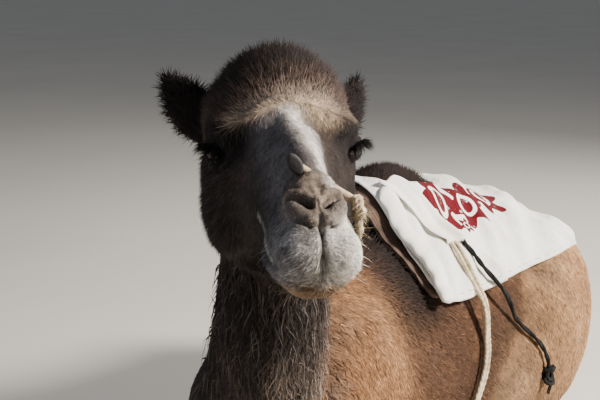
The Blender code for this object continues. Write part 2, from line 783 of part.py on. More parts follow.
def cord_point(behind, angle, radius, form):
    """The middle of a cord that lies on the cloth, then eases down past the hem to the coat."""
    on_coat = round_body(behind, angle, radius + ROPE_CLEARANCE, form)
    on_cloth = draped(behind, angle, CLOTH_OUTSIDE + radius + 2 * ROPE_CLEARANCE)
    share = min(1.0, max(0.0, (on_coat.z - HEM_HEIGHT + 0.07) / 0.05))
    return on_coat.lerp(on_cloth, share)


def cord_points(route, count, radius, form):
    places = [Vector(place) for place in route]
    steps = [n / (count - 1) * (len(places) - 1) for n in range(count)]
    return [cord_point(*spline_value(places, step), radius, form) for step in steps]


girth_round = [*GIRTH_ROUTE, *((behind, 360 - angle) for behind, angle in reversed(GIRTH_ROUTE[:-1]))]
girth_points = cord_points(girth_round, GIRTH_POINTS, GIRTH_RADIUS, FORM_INSIDE_THIGHS)
girth = tube("girth", girth_points, GIRTH_RADIUS)
strap = tube("strap", cord_points(STRAP_ROUTE, STRAP_POINTS, STRAP_RADIUS, FORM), STRAP_RADIUS)
KNOT_MIDDLE = over_form((0, 0.897, 0.330), (1, 0, 0), 0.028)
knot_masses = []
for around, up in ((0.000, 0.020), (0.012, -0.002), (-0.010, -0.014)):
    knot_masses.append(ellipsoid("knot", KNOT_MIDDLE + Vector((0, around, up)), (0.020, 0.021, 0.018)))
strap_knot = decimated(fused("knot", knot_masses, 0.004, 2), 110)
strap_knot = carved(strap_knot, [strap])

# ---------------------------------------------------------------- legs, parted

ELBOW_PLANE = (0.0, 0.0, 0.320)
ELBOW_NORMAL = (0, -0.45, -0.90)
FORE_FOLD_PLANE = (0.0, -0.44, 0.056)
FORE_FOLD_NORMAL = (0, 0.16, -1)
FORE_FETLOCK_PLANE = (BREAST_PAD_AT, -0.060, 0.0)
FORE_FETLOCK_NORMAL = (-math.sin(math.radians(CHEST_SWING)), math.cos(math.radians(CHEST_SWING)), 0)
STIFLE_PLANE = (0.0, 0.50, 0.215)
STIFLE_NORMAL = (0, -0.06, -1)
HIND_FOLD_PLANE = (0.0, 0.0, 0.090)
HIND_FETLOCK_PLANE = (0.0, 0.620, 0.0)

def nail(foot, horn):
    """A toe's horn nail, cut to the foot it grows from and to the floor."""
    return carved(on_floor(decimated(horn, 36)), [foot])


legs = {}
nails = {}
for side_name, side in (("left", 1), ("right", -1)):
    leg = on_floor(decimated(foreleg_mass(side), 400))
    leg = carved(leg, [trunk, breast_pad, neck_lower])
    shoulder, leg = parted(leg, ("shoulder", "leg"), ELBOW_PLANE, ELBOW_NORMAL)
    forearm, leg = parted(leg, ("forearm", "leg"), FORE_FOLD_PLANE, FORE_FOLD_NORMAL)
    cannon, foot = parted(leg, ("cannon", "foot"), FORE_FETLOCK_PLANE, FORE_FETLOCK_NORMAL)
    legs["shoulder_" + side_name] = shoulder
    legs["forearm_" + side_name] = forearm
    legs["fore_cannon_" + side_name] = cannon
    legs["fore_foot_" + side_name] = foot
    for toe_name, toe in (("inner", -1), ("outer", 1)):
        middle = (side * (0.237 + toe * 0.036), 0.166, 0.018)
        horn = swung(ellipsoid("nail", middle, (0.017, 0.014, 0.013)))
        nails[f"fore_nail_{toe_name}_{side_name}"] = nail(foot, horn)

    leg = on_floor(decimated(hind_leg_mass(side), 440))
    leg = carved(leg, [trunk, girth])
    thigh, leg = parted(leg, ("thigh", "leg"), STIFLE_PLANE, STIFLE_NORMAL)
    shank, leg = parted(leg, ("shank", "leg"), HIND_FOLD_PLANE, (0, 0, -1))
    cannon, foot = parted(leg, ("cannon", "foot"), HIND_FETLOCK_PLANE, (0, -1, 0))
    legs["thigh_" + side_name] = thigh
    legs["shank_" + side_name] = shank
    legs["hind_cannon_" + side_name] = cannon
    legs["hind_foot_" + side_name] = foot
    for toe_name, toe in (("inner", -1), ("outer", 1)):
        middle = (side * (0.314 + toe * 0.033), 0.383, 0.020)
        horn = ellipsoid("nail", middle, (0.016, 0.014, 0.014))
        nails[f"hind_nail_{toe_name}_{side_name}"] = nail(foot, horn)

# ---------------------------------------------------------------- nodes

keep(trunk, "trunk", COAT_BROWN)
keep(hump, "hump", COAT_DARK)
keep(breast_pad, "breast_pad", HORN)
keep(neck_lower, "neck_lower", COAT_BROWN)
keep(neck_upper, "neck_upper", COAT_DARK)
keep(head, "head", COAT_DARK)
keep(muzzle, "muzzle", COAT_FACE)
keep(lower_jaw, "lower_jaw", COAT_FACE)
for side_name in ("left", "right"):
    keep(ears[side_name], "ear_" + side_name, COAT_DARK)
    keep(eyes[side_name], "eye_" + side_name, EYE_BROWN, 0.1)
for name, limb in legs.items():
    keep(limb, name, COAT_BROWN)
for name, horn in nails.items():
    keep(horn, name, HORN, 0.45)
keep(tail, "tail", COAT_BROWN)
keep(tail_tuft, "tail_tuft", COAT_DARK)
keep(peg, "nose_peg", PEG_WOOD, 0.5)
keep(peg_tie, "peg_tie", ROPE_CREAM)
keep(quilt, "saddle_quilt", QUILT_BROWN, 0.95)
keep(cloth, "saddle_cloth", COTTON_WHITE, 0.9)
for side_name, fold in folds.items():
    keep(fold, "saddle_fold_" + side_name, COTTON_WHITE, 0.9)
keep(girth, "girth_rope", ROPE_CREAM, 0.9)
keep(strap, "side_strap", STRAP_BLACK, 0.7)
keep(strap_knot, "side_strap_knot", STRAP_BLACK, 0.7)
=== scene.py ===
"""A couched dromedary camel with its saddle cloth, girth and nose peg, dressed over its frame.

Metres, +Z up. The camel faces -Y with its left side at +X, and its neck is bent to the left.
"""

import math

import bmesh
import bpy
import numpy as np
from mathutils import Matrix, Vector
from mathutils.bvhtree import BVHTree


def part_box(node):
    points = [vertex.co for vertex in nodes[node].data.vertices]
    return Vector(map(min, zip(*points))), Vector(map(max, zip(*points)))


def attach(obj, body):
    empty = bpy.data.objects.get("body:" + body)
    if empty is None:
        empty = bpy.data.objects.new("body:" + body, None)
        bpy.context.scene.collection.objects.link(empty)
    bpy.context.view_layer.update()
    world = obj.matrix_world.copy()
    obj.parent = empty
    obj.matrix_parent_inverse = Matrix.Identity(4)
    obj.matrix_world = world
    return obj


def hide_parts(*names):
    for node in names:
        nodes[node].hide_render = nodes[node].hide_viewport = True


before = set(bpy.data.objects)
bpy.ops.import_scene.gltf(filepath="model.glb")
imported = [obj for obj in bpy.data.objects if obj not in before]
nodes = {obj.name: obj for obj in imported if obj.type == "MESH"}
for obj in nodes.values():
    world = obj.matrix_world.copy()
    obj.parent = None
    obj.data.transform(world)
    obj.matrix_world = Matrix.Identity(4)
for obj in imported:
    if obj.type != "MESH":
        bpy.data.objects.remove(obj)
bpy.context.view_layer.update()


# ---------------------------------------------------------------- studio
# A seamless pale floor, a big soft key light high on the camel's left, a weaker fill on its
# right and a soft light behind it. The camera stands ahead of the left shoulder at head height.

FLOOR_SIZE = 260.0
FLOOR_GREY = (0.62, 0.58, 0.52)
FLOOR_PALE = (0.66, 0.62, 0.56)
CAMERA_AT = (1.436, -1.855, 1.62)
CAMERA_HEADING = (-0.616, 0.788)
CAMERA_DIP = math.radians(13.0)
LENS_MM = 60.0
SENSOR_MM = 36.0
SIGHT_ENDS = 400.0
SKY_COLOUR = (0.80, 0.86, 0.95, 1.0)
SKY_STRENGTH = 0.22
# Each light's name, place, aim, size across, power and colour.
LIGHTS = (
    ("key", (4.3, 1.5, 3.7), (0.3, -0.2, 0.9), 0.9, 1040, (1.0, 0.93, 0.84)),
    ("fill", (-2.4, -5.0, 3.0), (0.2, -0.4, 0.9), 4.0, 95, (0.86, 0.92, 1.0)),
    ("back", (-0.5, 5.0, 4.2), (0, 0.4, 0.9), 3.5, 200, (1.0, 0.97, 0.92)),
)


class Value:
    """A shader number that takes part in plain arithmetic."""

    def __init__(self, tree, socket):
        self.tree = tree
        self.socket = socket

    def _with(self, operation, *terms):
        node = self.tree.nodes.new("ShaderNodeMath")
        node.operation = operation
        for place, term in zip(node.inputs, terms):
            if isinstance(term, Value):
                self.tree.links.new(term.socket, place)
            else:
                place.default_value = term
        return Value(self.tree, node.outputs[0])

    def __add__(self, other):
        return self._with("ADD", self, other)

    __radd__ = __add__

    def __sub__(self, other):
        return self._with("SUBTRACT", self, other)

    def __rsub__(self, other):
        return self._with("SUBTRACT", other, self)

    def __mul__(self, other):
        return self._with("MULTIPLY", self, other)

    __rmul__ = __mul__

    def __pow__(self, other):
        return self._with("POWER", self, other)

    def wave(self):
        return self._with("COSINE", self)

    def angle_to(self, other):
        return self._with("ARCTAN2", self, other)

    def above(self, level, softness):
        """0 below the level and 1 above it, eased over the softness."""
        return self.ranged(level - softness, level + softness)

    def ranged(self, low, high, start=0.0, end=1.0):
        node = self.tree.nodes.new("ShaderNodeMapRange")
        node.interpolation_type = "SMOOTHSTEP"
        self.tree.links.new(self.socket, node.inputs["Value"])
        sockets = ("From Min", "From Max", "To Min", "To Max")
        for name, value in zip(sockets, (low, high, start, end)):
            node.inputs[name].default_value = value
        return Value(self.tree, node.outputs["Result"])


class Finish:
    """A material being made up: a principled surface and the nodes that feed it."""

    def __init__(self, name, **constants):
        self.material = bpy.data.materials.new(name)
        self.material.use_nodes = True
        self.tree = self.material.node_tree
        self.surface = self.tree.nodes["Principled BSDF"]
        for socket, value in constants.items():
            self.surface.inputs[socket.replace("_", " ")].default_value = value
        self.place = self.node("TexCoord", output="Object")

    def node(self, kind, settings=None, inputs=None, output=0):
        """A node of that kind: its settings first, then the values or links of its sockets."""
        made = self.tree.nodes.new("ShaderNode" + kind)
        for name, value in (settings or {}).items():
            setattr(made, name, value)
        for name, value in (inputs or {}).items():
            self.feed(made.inputs[name], value)
        return Value(self.tree, made.outputs[output])

    def feed(self, socket, value):
        if isinstance(value, Value):
            self.tree.links.new(value.socket, socket)
        else:
            socket.default_value = value

    def noise(self, scale, detail=3.0, roughness=0.55, stretch=None):
        place = self.place
        if stretch:
            place = self.node("Mapping", inputs={"Vector": place, "Scale": stretch})
        inputs = {"Vector": place, "Scale": scale, "Detail": detail, "Roughness": roughness}
        return self.node("TexNoise", inputs=inputs)

    def attribute(self, name):
        return self.node("Attribute", {"attribute_name": name}, output="Color")

    def mixed(self, factor, under, over, blend="MIX"):
        """Two colours through a Mix node."""
        settings = {"data_type": "RGBA", "blend_type": blend}
        colours = [(*c, 1.0) if isinstance(c, tuple) and len(c) == 3 else c for c in (under, over)]
        return self.node("Mix", settings, {0: factor, 6: colours[0], 7: colours[1]}, output=2)

    def ramp(self, factor, *stops):
        """Colours along the factor, each stop a place and a colour."""
        node = self.tree.nodes.new("ShaderNodeValToRGB")
        while len(node.color_ramp.elements) < len(stops):
            node.color_ramp.elements.new(0.5)
        for element, (place, colour) in zip(node.color_ramp.elements, stops):
            element.position = place
            element.color = (*colour, 1.0)
        self.feed(node.inputs["Fac"], factor)
        return Value(self.tree, node.outputs["Color"])

    def bump(self, height, distance, strength=1.0, over=None):
        inputs = {"Height": height, "Distance": distance, "Strength": strength}
        if over:
            inputs["Normal"] = over
        return self.node("Bump", inputs=inputs)

    def done(self, colour=None, roughness=None, normal=None):
        for name, value in (("Base Color", colour), ("Roughness", roughness), ("Normal", normal)):
            if value is not None:
                self.feed(self.surface.inputs[name], value)
        return self.material


def linked(name, shape, material=None):
    """A new object at the origin that holds the bmesh, which is freed."""
    mesh = bpy.data.meshes.new(name)
    shape.to_mesh(mesh)
    shape.free()
    made = bpy.data.objects.new(name, mesh)
    bpy.context.scene.collection.objects.link(made)
    if material:
        mesh.materials.append(material)
    return made


def floor_finish():
    finish = Finish("floor_paint", Roughness=0.85)
    tint = finish.ramp(finish.noise(0.7, 4), (0.35, FLOOR_GREY), (0.7, FLOOR_PALE))
    return finish.done(colour=tint)


ground = bmesh.new()
bmesh.ops.create_grid(ground, x_segments=8, y_segments=8, size=FLOOR_SIZE / 2)
floor = linked("floor", ground, floor_finish())


def soft_light(name, place, aim, size, power, colour):
    lamp = bpy.data.lights.new(name, "AREA")
    lamp.shape = "DISK"
    lamp.size = size
    lamp.energy = power
    lamp.color = colour
    made = bpy.data.objects.new(name, lamp)
    made.location = place
    made.rotation_euler = (Vector(aim) - Vector(place)).to_track_quat("-Z", "Y").to_euler()
    bpy.context.scene.collection.objects.link(made)


for light in LIGHTS:
    soft_light(*light)

world = bpy.data.worlds.new("studio")
world.use_nodes = True
sky = world.node_tree.nodes["Background"].inputs
sky["Color"].default_value = SKY_COLOUR
sky["Strength"].default_value = SKY_STRENGTH
bpy.context.scene.world = world

lens = bpy.data.cameras.new("camera")
lens.lens = LENS_MM
lens.sensor_width = SENSOR_MM
lens.clip_end = SIGHT_ENDS
camera = bpy.data.objects.new("camera", lens)
camera.location = CAMERA_AT
heading = Vector((*CAMERA_HEADING, 0.0)).normalized()
gaze = heading * math.cos(CAMERA_DIP) - Vector((0, 0, math.sin(CAMERA_DIP)))
camera.rotation_euler = gaze.to_track_quat("-Z", "Y").to_euler()
bpy.context.scene.collection.objects.link(camera)
bpy.context.scene.camera = camera


# ---------------------------------------------------------------- skin
# One hide over head, neck, trunk, legs and tail. It lies under the tips of the coat by the
# coat's depth. The face has its folds: brow, nostrils, nose pad, split lip and mouth line.

HIDE_VOXEL = 0.006
HIDE_PROUD = 0.0012  # closes the thin cuts between the parts of the frame
BODY_TRIANGLES = 34000
HEAD_DIP = math.radians(2)
SIDES = ("left", "right")
LIMBS = ("ear", "shoulder", "forearm", "fore_cannon", "fore_foot")
LIMBS += ("thigh", "shank", "hind_cannon", "hind_foot")
# How far the hide gives way when the edges of its parts are rubbed down.
HEAD_GIVE, EAR_GIVE, LIMB_GIVE, BODY_GIVE = 0.14, 0.05, 0.10, 0.5

flesh = ["trunk", "hump", "breast_pad", "neck_lower", "neck_upper", "head", "muzzle", "lower_jaw"]
flesh += ["tail", "tail_tuft"]
flesh += [f"{limb}_{side}" for limb in LIMBS for side in SIDES]


def centre_of(node):
    low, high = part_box(node)
    return (low + high) / 2


eye_line = (centre_of("eye_left") + centre_of("eye_right")) / 2
head_left = (centre_of("eye_left") - centre_of("eye_right")).normalized()
head_ahead = head_left.cross(Vector((0, 0, 1))) * math.cos(HEAD_DIP) - Vector((0, 0, math.sin(HEAD_DIP)))
HEAD_AXES = np.array([head_ahead, head_left, head_ahead.cross(head_left)])
HEAD_ORIGIN = np.array(eye_line)


def in_head(points):
    """Points as (forward, left, up) from the middle of the eye line, along the head."""
    return (np.asarray(points) - HEAD_ORIGIN) @ HEAD_AXES.T


def from_head(points):
    return np.asarray(points) @ HEAD_AXES + HEAD_ORIGIN


def read(items, name, width, kind=float):
    """That value of every item, in rows of so many numbers."""
    values = np.empty(len(items) * width, kind)
    items.foreach_get(name, values)
    return values.reshape(-1, width)


def places_of(mesh):
    return read(mesh.vertices, "co", 3)


def put_places(mesh, places):
    mesh.vertices.foreach_set("co", places.astype(np.float32).ravel())
    mesh.update()


def edges_of(mesh):
    return read(mesh.edges, "vertices", 2, np.int64)


def normals_of(mesh):
    return read(mesh.vertex_normals, "vector", 3)


def eased(values, pairs, weight, passes):
    """Values at the vertices, drawn towards their neighbours' mean by the weight, pass by pass."""
    values = values.copy()
    count = len(values)
    flat = values.reshape(count, -1)
    both = np.concatenate([pairs, pairs[:, ::-1]])
    order = np.argsort(both[:, 0], kind="stable")
    ends = both[order, 1]
    starts = np.searchsorted(both[order, 0], np.arange(count))
    degree = np.maximum(np.bincount(both[:, 0], minlength=count), 1)[:, None]
    weight = np.broadcast_to(np.asarray(weight, float).reshape(-1, 1), (count, 1))
    for _ in range(passes):
        mean = np.add.reduceat(flat[ends], starts, axis=0) / degree
        flat += (mean - flat) * weight
    return values


def as_applied(thing):
    """Set the object's mesh to what its modifiers make of it, and take them off."""
    bpy.context.view_layer.update()
    depsgraph = bpy.context.evaluated_depsgraph_get()
    mesh = bpy.data.meshes.new_from_object(thing.evaluated_get(depsgraph))
    thing.modifiers.clear()
    thing.data = mesh


def part_tree(names):
    """A search tree over the frame's parts, and the part's number for each of its faces."""
    shape = bmesh.new()
    owners = []
    for number, name in enumerate(names):
        shape.from_mesh(nodes[name].data)
        owners += [number] * (len(shape.faces) - len(owners))
    tree = BVHTree.FromBMesh(shape)
    shape.free()
    return tree, np.array(owners)


FLESH_TREE, FLESH_OWNERS = part_tree(flesh)


def part_numbers(places):
    found = [FLESH_TREE.find_nearest(place)[2] for place in places]
    return FLESH_OWNERS[np.array(found)]


def numbers_for(*starts):
    """The numbers of the parts whose names start with one of these."""
    return [n for n, name in enumerate(flesh) if name.startswith(starts)]


def joined_flesh():
    shape = bmesh.new()
    for name in [*flesh, "eye_left", "eye_right"]:
        shape.from_mesh(nodes[name].data)
    bmesh.ops.remove_doubles(shape, verts=shape.verts[:], dist=1e-5)
    shape.normal_update()
    for vert in shape.verts:
        vert.co += vert.normal * HIDE_PROUD
    return linked("skin", shape)


skin = joined_flesh()
remesh = skin.modifiers.new("one_hide", "REMESH")
remesh.mode = "VOXEL"
remesh.voxel_size = HIDE_VOXEL
as_applied(skin)

places = places_of(skin.data)
pairs = edges_of(skin.data)
parts = part_numbers(places)
is_head = np.isin(parts, numbers_for("head", "muzzle", "lower_jaw"))
is_ear = np.isin(parts, numbers_for("ear"))
is_limb = np.isin(parts, numbers_for("fore", "hind", "shank", "tail"))
give = np.where(is_limb, LIMB_GIVE, BODY_GIVE)
give = np.where(is_head, HEAD_GIVE, np.where(is_ear, EAR_GIVE, give))
give = eased(give, pairs, 0.5, 12)
put_places(skin.data, eased(places, pairs, give, 90))


def thinned(thing, group_weight, ratio):
    """The object with fewer faces where the weight is, and the rest kept."""
    group = thing.vertex_groups.new(name="plain")
    for step in range(11):
        chosen = np.flatnonzero(np.round(group_weight * 10) == step)
        group.add(chosen.tolist(), step / 10, "REPLACE")
    fewer = thing.modifiers.new("fewer", "DECIMATE")
    fewer.ratio = ratio
    fewer.vertex_group = "plain"
    as_applied(thing)
    thing.vertex_groups.clear()


body_share = eased(np.where(is_head | is_ear, 0.0, 1.0), pairs, 0.5, 6)
body_share[body_share < 0.6] = 0.0
body_triangles = 2 * len(places) * np.mean(body_share > 0)
head_triangles = 2 * len(places) - body_triangles
thinned(skin, body_share, (head_triangles + BODY_TRIANGLES) / (2 * len(places)))

# Boxes of the head's frame that are cut finer: the face and ears, then the nose and each eye.
FINE_BOXES = (
    ((-0.19, -0.20, -0.20), (0.40, 0.20, 0.20)),
    ((0.215, -0.060, -0.100), (0.35, 0.060, 0.035)),
    ((-0.028, 0.068, -0.030), (0.040, 0.135, 0.030)),
    ((-0.028, -0.135, -0.030), (0.040, -0.068, 0.030)),
)


def refined(thing, low, high):
    """Every face of the box cut in four, so that its folds can be shaped."""
    shape = bmesh.new()
    shape.from_mesh(thing.data)
    bmesh.ops.triangulate(shape, faces=shape.faces[:])
    local = in_head([vert.co for vert in shape.verts])
    inside = np.all((local > low) & (local < high), axis=1)
    shape.verts.ensure_lookup_table()
    edges = [edge for edge in shape.edges if all(inside[vert.index] for vert in edge.verts)]
    bmesh.ops.subdivide_edges(shape, edges=edges, cuts=1, use_grid_fill=True)
    bmesh.ops.triangulate(shape, faces=shape.faces[:])
    shape.to_mesh(thing.data)
    shape.free()


for low, high in FINE_BOXES:
    refined(skin, low, high)
places = places_of(skin.data)
pairs = edges_of(skin.data)
places = eased(places, pairs, 0.45, 3)
put_places(skin.data, places)
COAT_HULL = BVHTree.FromPolygons(
    places.tolist(), [tuple(face.vertices) for face in skin.data.polygons]
)


def shades(*sizes):
    """A colour in linear light from its red, green and blue as the eye counts them, 0 to 255."""
    return np.array([((size / 255 + 0.055) / 1.055) ** 2.4 for size in sizes])


def near(points, line, width):
    """1 on the line through the given places, falling off to 0 over the width."""
    line = np.asarray(line, float)
    points = np.asarray(points, float)
    best = np.full(len(points), np.inf)
    for start, end in zip(line, line[1:]):
        along = end - start
        length = max(float(along @ along), 1e-12)
        share = np.clip((points - start) @ along / length, 0, 1)
        gap = np.linalg.norm(points - start - share[:, None] * along, axis=1)
        best = np.minimum(best, gap)
    return np.exp(-((best / width) ** 2))


def eased_step(value, low, high):
    share = np.clip((value - low) / (high - low), 0, 1)
    return share * share * (3 - 2 * share)


def mirrored(line):
    return [(x, -y, z) for x, y, z in line]


parts = part_numbers(places)
normals = normals_of(skin.data)
local = in_head(places)


def share_of(*starts, passes=14):
    """How far each point of the skin belongs to the parts whose names start so, eased."""
    return eased(np.isin(parts, numbers_for(*starts)).astype(float), pairs, 0.5, passes)


on_head = share_of("head", "muzzle", "lower_jaw")
on_ear = share_of("ear", passes=6)
on_neck = share_of("neck", passes=40)
on_hump = share_of("hump", passes=30)
on_feet = share_of("fore_foot", "hind_foot", passes=10)
on_legs = share_of("forearm", "fore_cannon", "shank", "hind_cannon", passes=16)
on_haunch = share_of("thigh", passes=40)
on_shoulder = share_of("shoulder", passes=40)
on_tail = share_of("tail", passes=10)
on_tuft = share_of("tail_tuft", passes=6)
on_pad = share_of("breast_pad", passes=4)

NECK_THROAT = np.array([head_ahead.x, head_ahead.y, 0.0])
throat = eased_step(normals @ NECK_THROAT, -0.15, 0.75) * on_neck
muzzle_share = eased_step(local[:, 0], 0.17, 0.27) * on_head
dome_share = eased_step(local[:, 2], 0.045, 0.085) * on_head

# How deep the skin lies under the tips of the coat: over the trunk, then over each other part.
BODY_DEPTH = 0.007
COAT_DEPTHS = (
    (on_hump, 0.016), (on_neck, 0.011), (throat, 0.026), (on_head, 0.0035), (dome_share, 0.006),
    (muzzle_share, 0.0012), (on_ear, 0.003), (on_legs, 0.004), (on_feet, 0.002), (on_tail, 0.005),
    (on_tuft, 0.012), (on_pad, 0.0),
)
SKIN_OFF_FLOOR = 0.0004
coat_depth = np.full(len(places), BODY_DEPTH)
for share, depth in COAT_DEPTHS:
    coat_depth = coat_depth + (depth - coat_depth) * share
coat_depth = coat_depth * eased_step(places[:, 2], 0.004, 0.05)
places = places - normals * coat_depth[:, None]
places[:, 2] = np.maximum(places[:, 2], SKIN_OFF_FLOOR)
put_places(skin.data, places)
normals = normals_of(skin.data)
local = in_head(places)

# Lines of the face in the head's frame, from the bridge down to the jaw.
BRIDGE = [(0.055, -0.004, 0.058), (0.120, -0.004, 0.040), (0.200, -0.002, 0.028)]
BROW = [(0.020, 0.012, 0.064), (0.038, 0.045, 0.054), (0.034, 0.072, 0.042), (0.010, 0.098, 0.030)]
UNDER_BROW = [(0.056, 0.018, 0.050), (0.066, 0.045, 0.034), (0.058, 0.076, 0.016)]
NOSTRIL = [(0.272, 0.032, 0.004), (0.278, 0.023, 0.006), (0.284, 0.014, 0.000)]
NOSTRIL += [(0.289, 0.009, -0.004)]
NOSTRIL_FLAP = [(0.260, 0.034, 0.007), (0.264, 0.022, 0.013), (0.274, 0.012, 0.008)]
NOSTRIL_FLAP += [(0.285, 0.006, 0.000)]
NOSTRIL_PAD = [(0.284, 0.032, -0.002), (0.293, 0.021, -0.007), (0.301, 0.009, -0.013)]
PAD_RIM = [(0.272, 0.040, 0.003), (0.283, 0.037, -0.004), (0.299, 0.030, -0.013)]
PAD_RIM += [(0.311, 0.012, -0.019)]
PAD_FRONT = [(0.311, 0.012, -0.019), (0.311, -0.012, -0.019)]
NOSE_CLEFT = [(0.288, 0, -0.002), (0.300, 0, -0.012), (0.313, 0, -0.022)]
LIP_CLEFT = [(0.313, 0, -0.022), (0.323, 0, -0.038), (0.331, 0, -0.058), (0.330, 0, -0.080)]
LIP_LOBE = [(0.310, 0.028, -0.040), (0.320, 0.030, -0.056)]
MOUTH = [(0.322, 0, -0.090), (0.312, 0.020, -0.088), (0.312, 0.036, -0.078), (0.292, 0.046, -0.072)]
MOUTH_SIDE = [(0.292, 0.046, -0.072), (0.250, 0.050, -0.069), (0.205, 0.052, -0.066)]
MOUTH_SIDE += [(0.160, 0.056, -0.058)]
UPPER_LIP_EDGE = [(x, y, z + 0.008) for x, y, z in [*MOUTH, *MOUTH_SIDE]]
LOWER_LIP_EDGE = [(x, y, z - 0.010) for x, y, z in [*MOUTH, *MOUTH_SIDE]]
CHEEKBONE = [(0.030, 0.094, -0.034), (0.090, 0.072, -0.040), (0.150, 0.058, -0.042)]
CHEEK_HOLLOW = [(0.100, 0.066, -0.084), (0.180, 0.054, -0.090)]
NOSE_SIDE = [(0.085, 0.046, 0.022), (0.150, 0.044, 0.004), (0.205, 0.044, -0.008)]
JAW_EDGE = [(-0.100, 0.090, -0.150), (0.020, 0.080, -0.140), (0.120, 0.056, -0.124)]
JAW_CORNER = [(0.010, 0.062, -0.106), (0.034, 0.060, -0.108)]
OVER_PEG = [(0.224, -0.002, 0.021), (0.224, 0.020, 0.012), (0.224, 0.044, -0.006)]
NOSE_RIDGE = [(0.240, 0.0, 0.018), (0.262, -0.001, 0.010), (0.282, 0.000, 0.000), (0.298, 0.000, -0.010)]
SIDE_RIDGE = [(0.232, 0.022, 0.010), (0.258, 0.015, 0.008), (0.280, 0.009, -0.001)]
RIDGE_FILL = [(0.238, 0.012, 0.014), (0.256, 0.010, 0.010)]
FLAP_GROOVE = [(0.232, 0.030, 0.004), (0.252, 0.020, 0.009), (0.272, 0.0125, 0.003)]
NOSE_WING = [(0.225, 0.050, -0.014), (0.262, 0.046, -0.018), (0.296, 0.041, -0.026)]
# Folds in the middle of the face, then those on both its sides: line, width and height.
FOLDS = [
    (BRIDGE, 0.015, 0.0045), (NOSE_CLEFT, 0.0032, -0.0030), (LIP_CLEFT, 0.0030, -0.0068),
    (OVER_PEG, 0.013, 0.0055), (NOSE_RIDGE, 0.0048, 0.0030), (PAD_FRONT, 0.0034, -0.0045),
]
PAIRED_FOLDS = [
    (BROW, 0.014, 0.0060), (UNDER_BROW, 0.017, -0.0095), (NOSE_SIDE, 0.022, -0.0055),
    (NOSTRIL_FLAP, 0.0078, 0.0050), (NOSTRIL_PAD, 0.0090, 0.0045), (NOSTRIL, 0.0036, -0.0165),
    (PAD_RIM, 0.0030, -0.0055), (LIP_LOBE, 0.021, 0.0060), (MOUTH, 0.0042, -0.0065),
    (SIDE_RIDGE, 0.0040, 0.0016), (RIDGE_FILL, 0.0062, 0.0034), (FLAP_GROOVE, 0.0028, -0.0016),
    (NOSE_WING, 0.013, -0.0050), (MOUTH_SIDE, 0.0050, -0.0060), (UPPER_LIP_EDGE, 0.0060, 0.0024),
    (LOWER_LIP_EDGE, 0.0060, 0.0020), (CHEEKBONE, 0.013, 0.0035), (CHEEK_HOLLOW, 0.026, -0.0050),
    (JAW_EDGE, 0.016, 0.0030),
]
LEFT_EAR_SHIFT = (0.0, 0.014, -0.010)
on_left_ear = share_of("ear_left", passes=6)
places = places + (on_left_ear[:, None] * np.array(LEFT_EAR_SHIFT)) @ HEAD_AXES
rise = np.zeros(len(places))
for line, width, height in FOLDS:
    rise += height * near(local, line, width)
for line, width, height in PAIRED_FOLDS:
    rise += height * (near(local, line, width) + near(local, mirrored(line), width))
places = places + normals * (rise * np.clip(on_head * 1.5, 0, 1))[:, None]
on_jaw = near(local, JAW_CORNER, 0.022) + near(local, mirrored(JAW_CORNER), 0.022)
places = places + (eased(places, pairs, 0.5, 40) - places) * on_jaw[:, None]

# Lids: the skin is drawn over each eyeball and sinks behind it inside the opening of the lids.
EYE_LOOK = np.array([0.52, 0.85, -0.06])
EYE_RADIUS = 0.021
LID_THICK = 0.0026
OPENING_HALF_LENGTH = 0.0180
OPENING_ABOVE = 0.0058
OPENING_BELOW = 0.0078
LID_SLANT = 0.0030
SINK_BEHIND_EYE = 0.006


def eye_axes(side):
    """The way that eye looks, the way along its lids and the way up across them."""
    look = EYE_LOOK * (1, 1 if side == "left" else -1, 1)
    look = look / np.linalg.norm(look)
    corner_line = np.cross(look, (0, 0, 1.0))
    corner_line /= np.linalg.norm(corner_line)
    return look, corner_line, np.cross(corner_line, look)


def drawn_over_eye(places, side):
    """The skin drawn over that eyeball as two lids, and 1 in the opening between them."""
    look, corner_line, upward = eye_axes(side)
    outer = 1 if side == "left" else -1
    eye = in_head(centre_of(f"eye_{side}"))
    offset = in_head(places) - eye
    reach = np.linalg.norm(offset, axis=1)
    facing = eased_step(offset @ look / np.maximum(reach, 1e-9), 0.0, 0.35)
    ahead = offset / np.maximum(reach, 1e-9)[:, None] * EYE_RADIUS
    along = ahead @ corner_line
    slant = LID_SLANT * (along / OPENING_HALF_LENGTH) ** 2 * np.sign(along) * outer
    up = ahead @ upward + slant
    half_up = np.where(up > 0, OPENING_ABOVE, OPENING_BELOW)
    ring = np.sqrt((along / OPENING_HALF_LENGTH) ** 2 + (up / half_up) ** 2)
    lid = EYE_RADIUS + LID_THICK * (0.75 + 0.5 * np.exp(-(((ring - 1.18) / 0.16) ** 2)))
    wanted = np.where(ring < 1.0, EYE_RADIUS - SINK_BEHIND_EYE, lid)
    pull = eased_step(reach, 0.046, 0.027) * facing
    moved = reach + (wanted - reach) * pull
    offset = offset / np.maximum(reach, 1e-9)[:, None] * moved[:, None]
    drawn = np.where((pull > 0)[:, None], from_head(eye + offset), places)
    return drawn, (ring < 1.12) * (pull > 0.5)


eye_opening = np.zeros(len(places))
for side in SIDES:
    places, opened = drawn_over_eye(places, side)
    eye_opening = np.maximum(eye_opening, opened)

put_places(skin.data, places)
normals = normals_of(skin.data)
local = in_head(places)


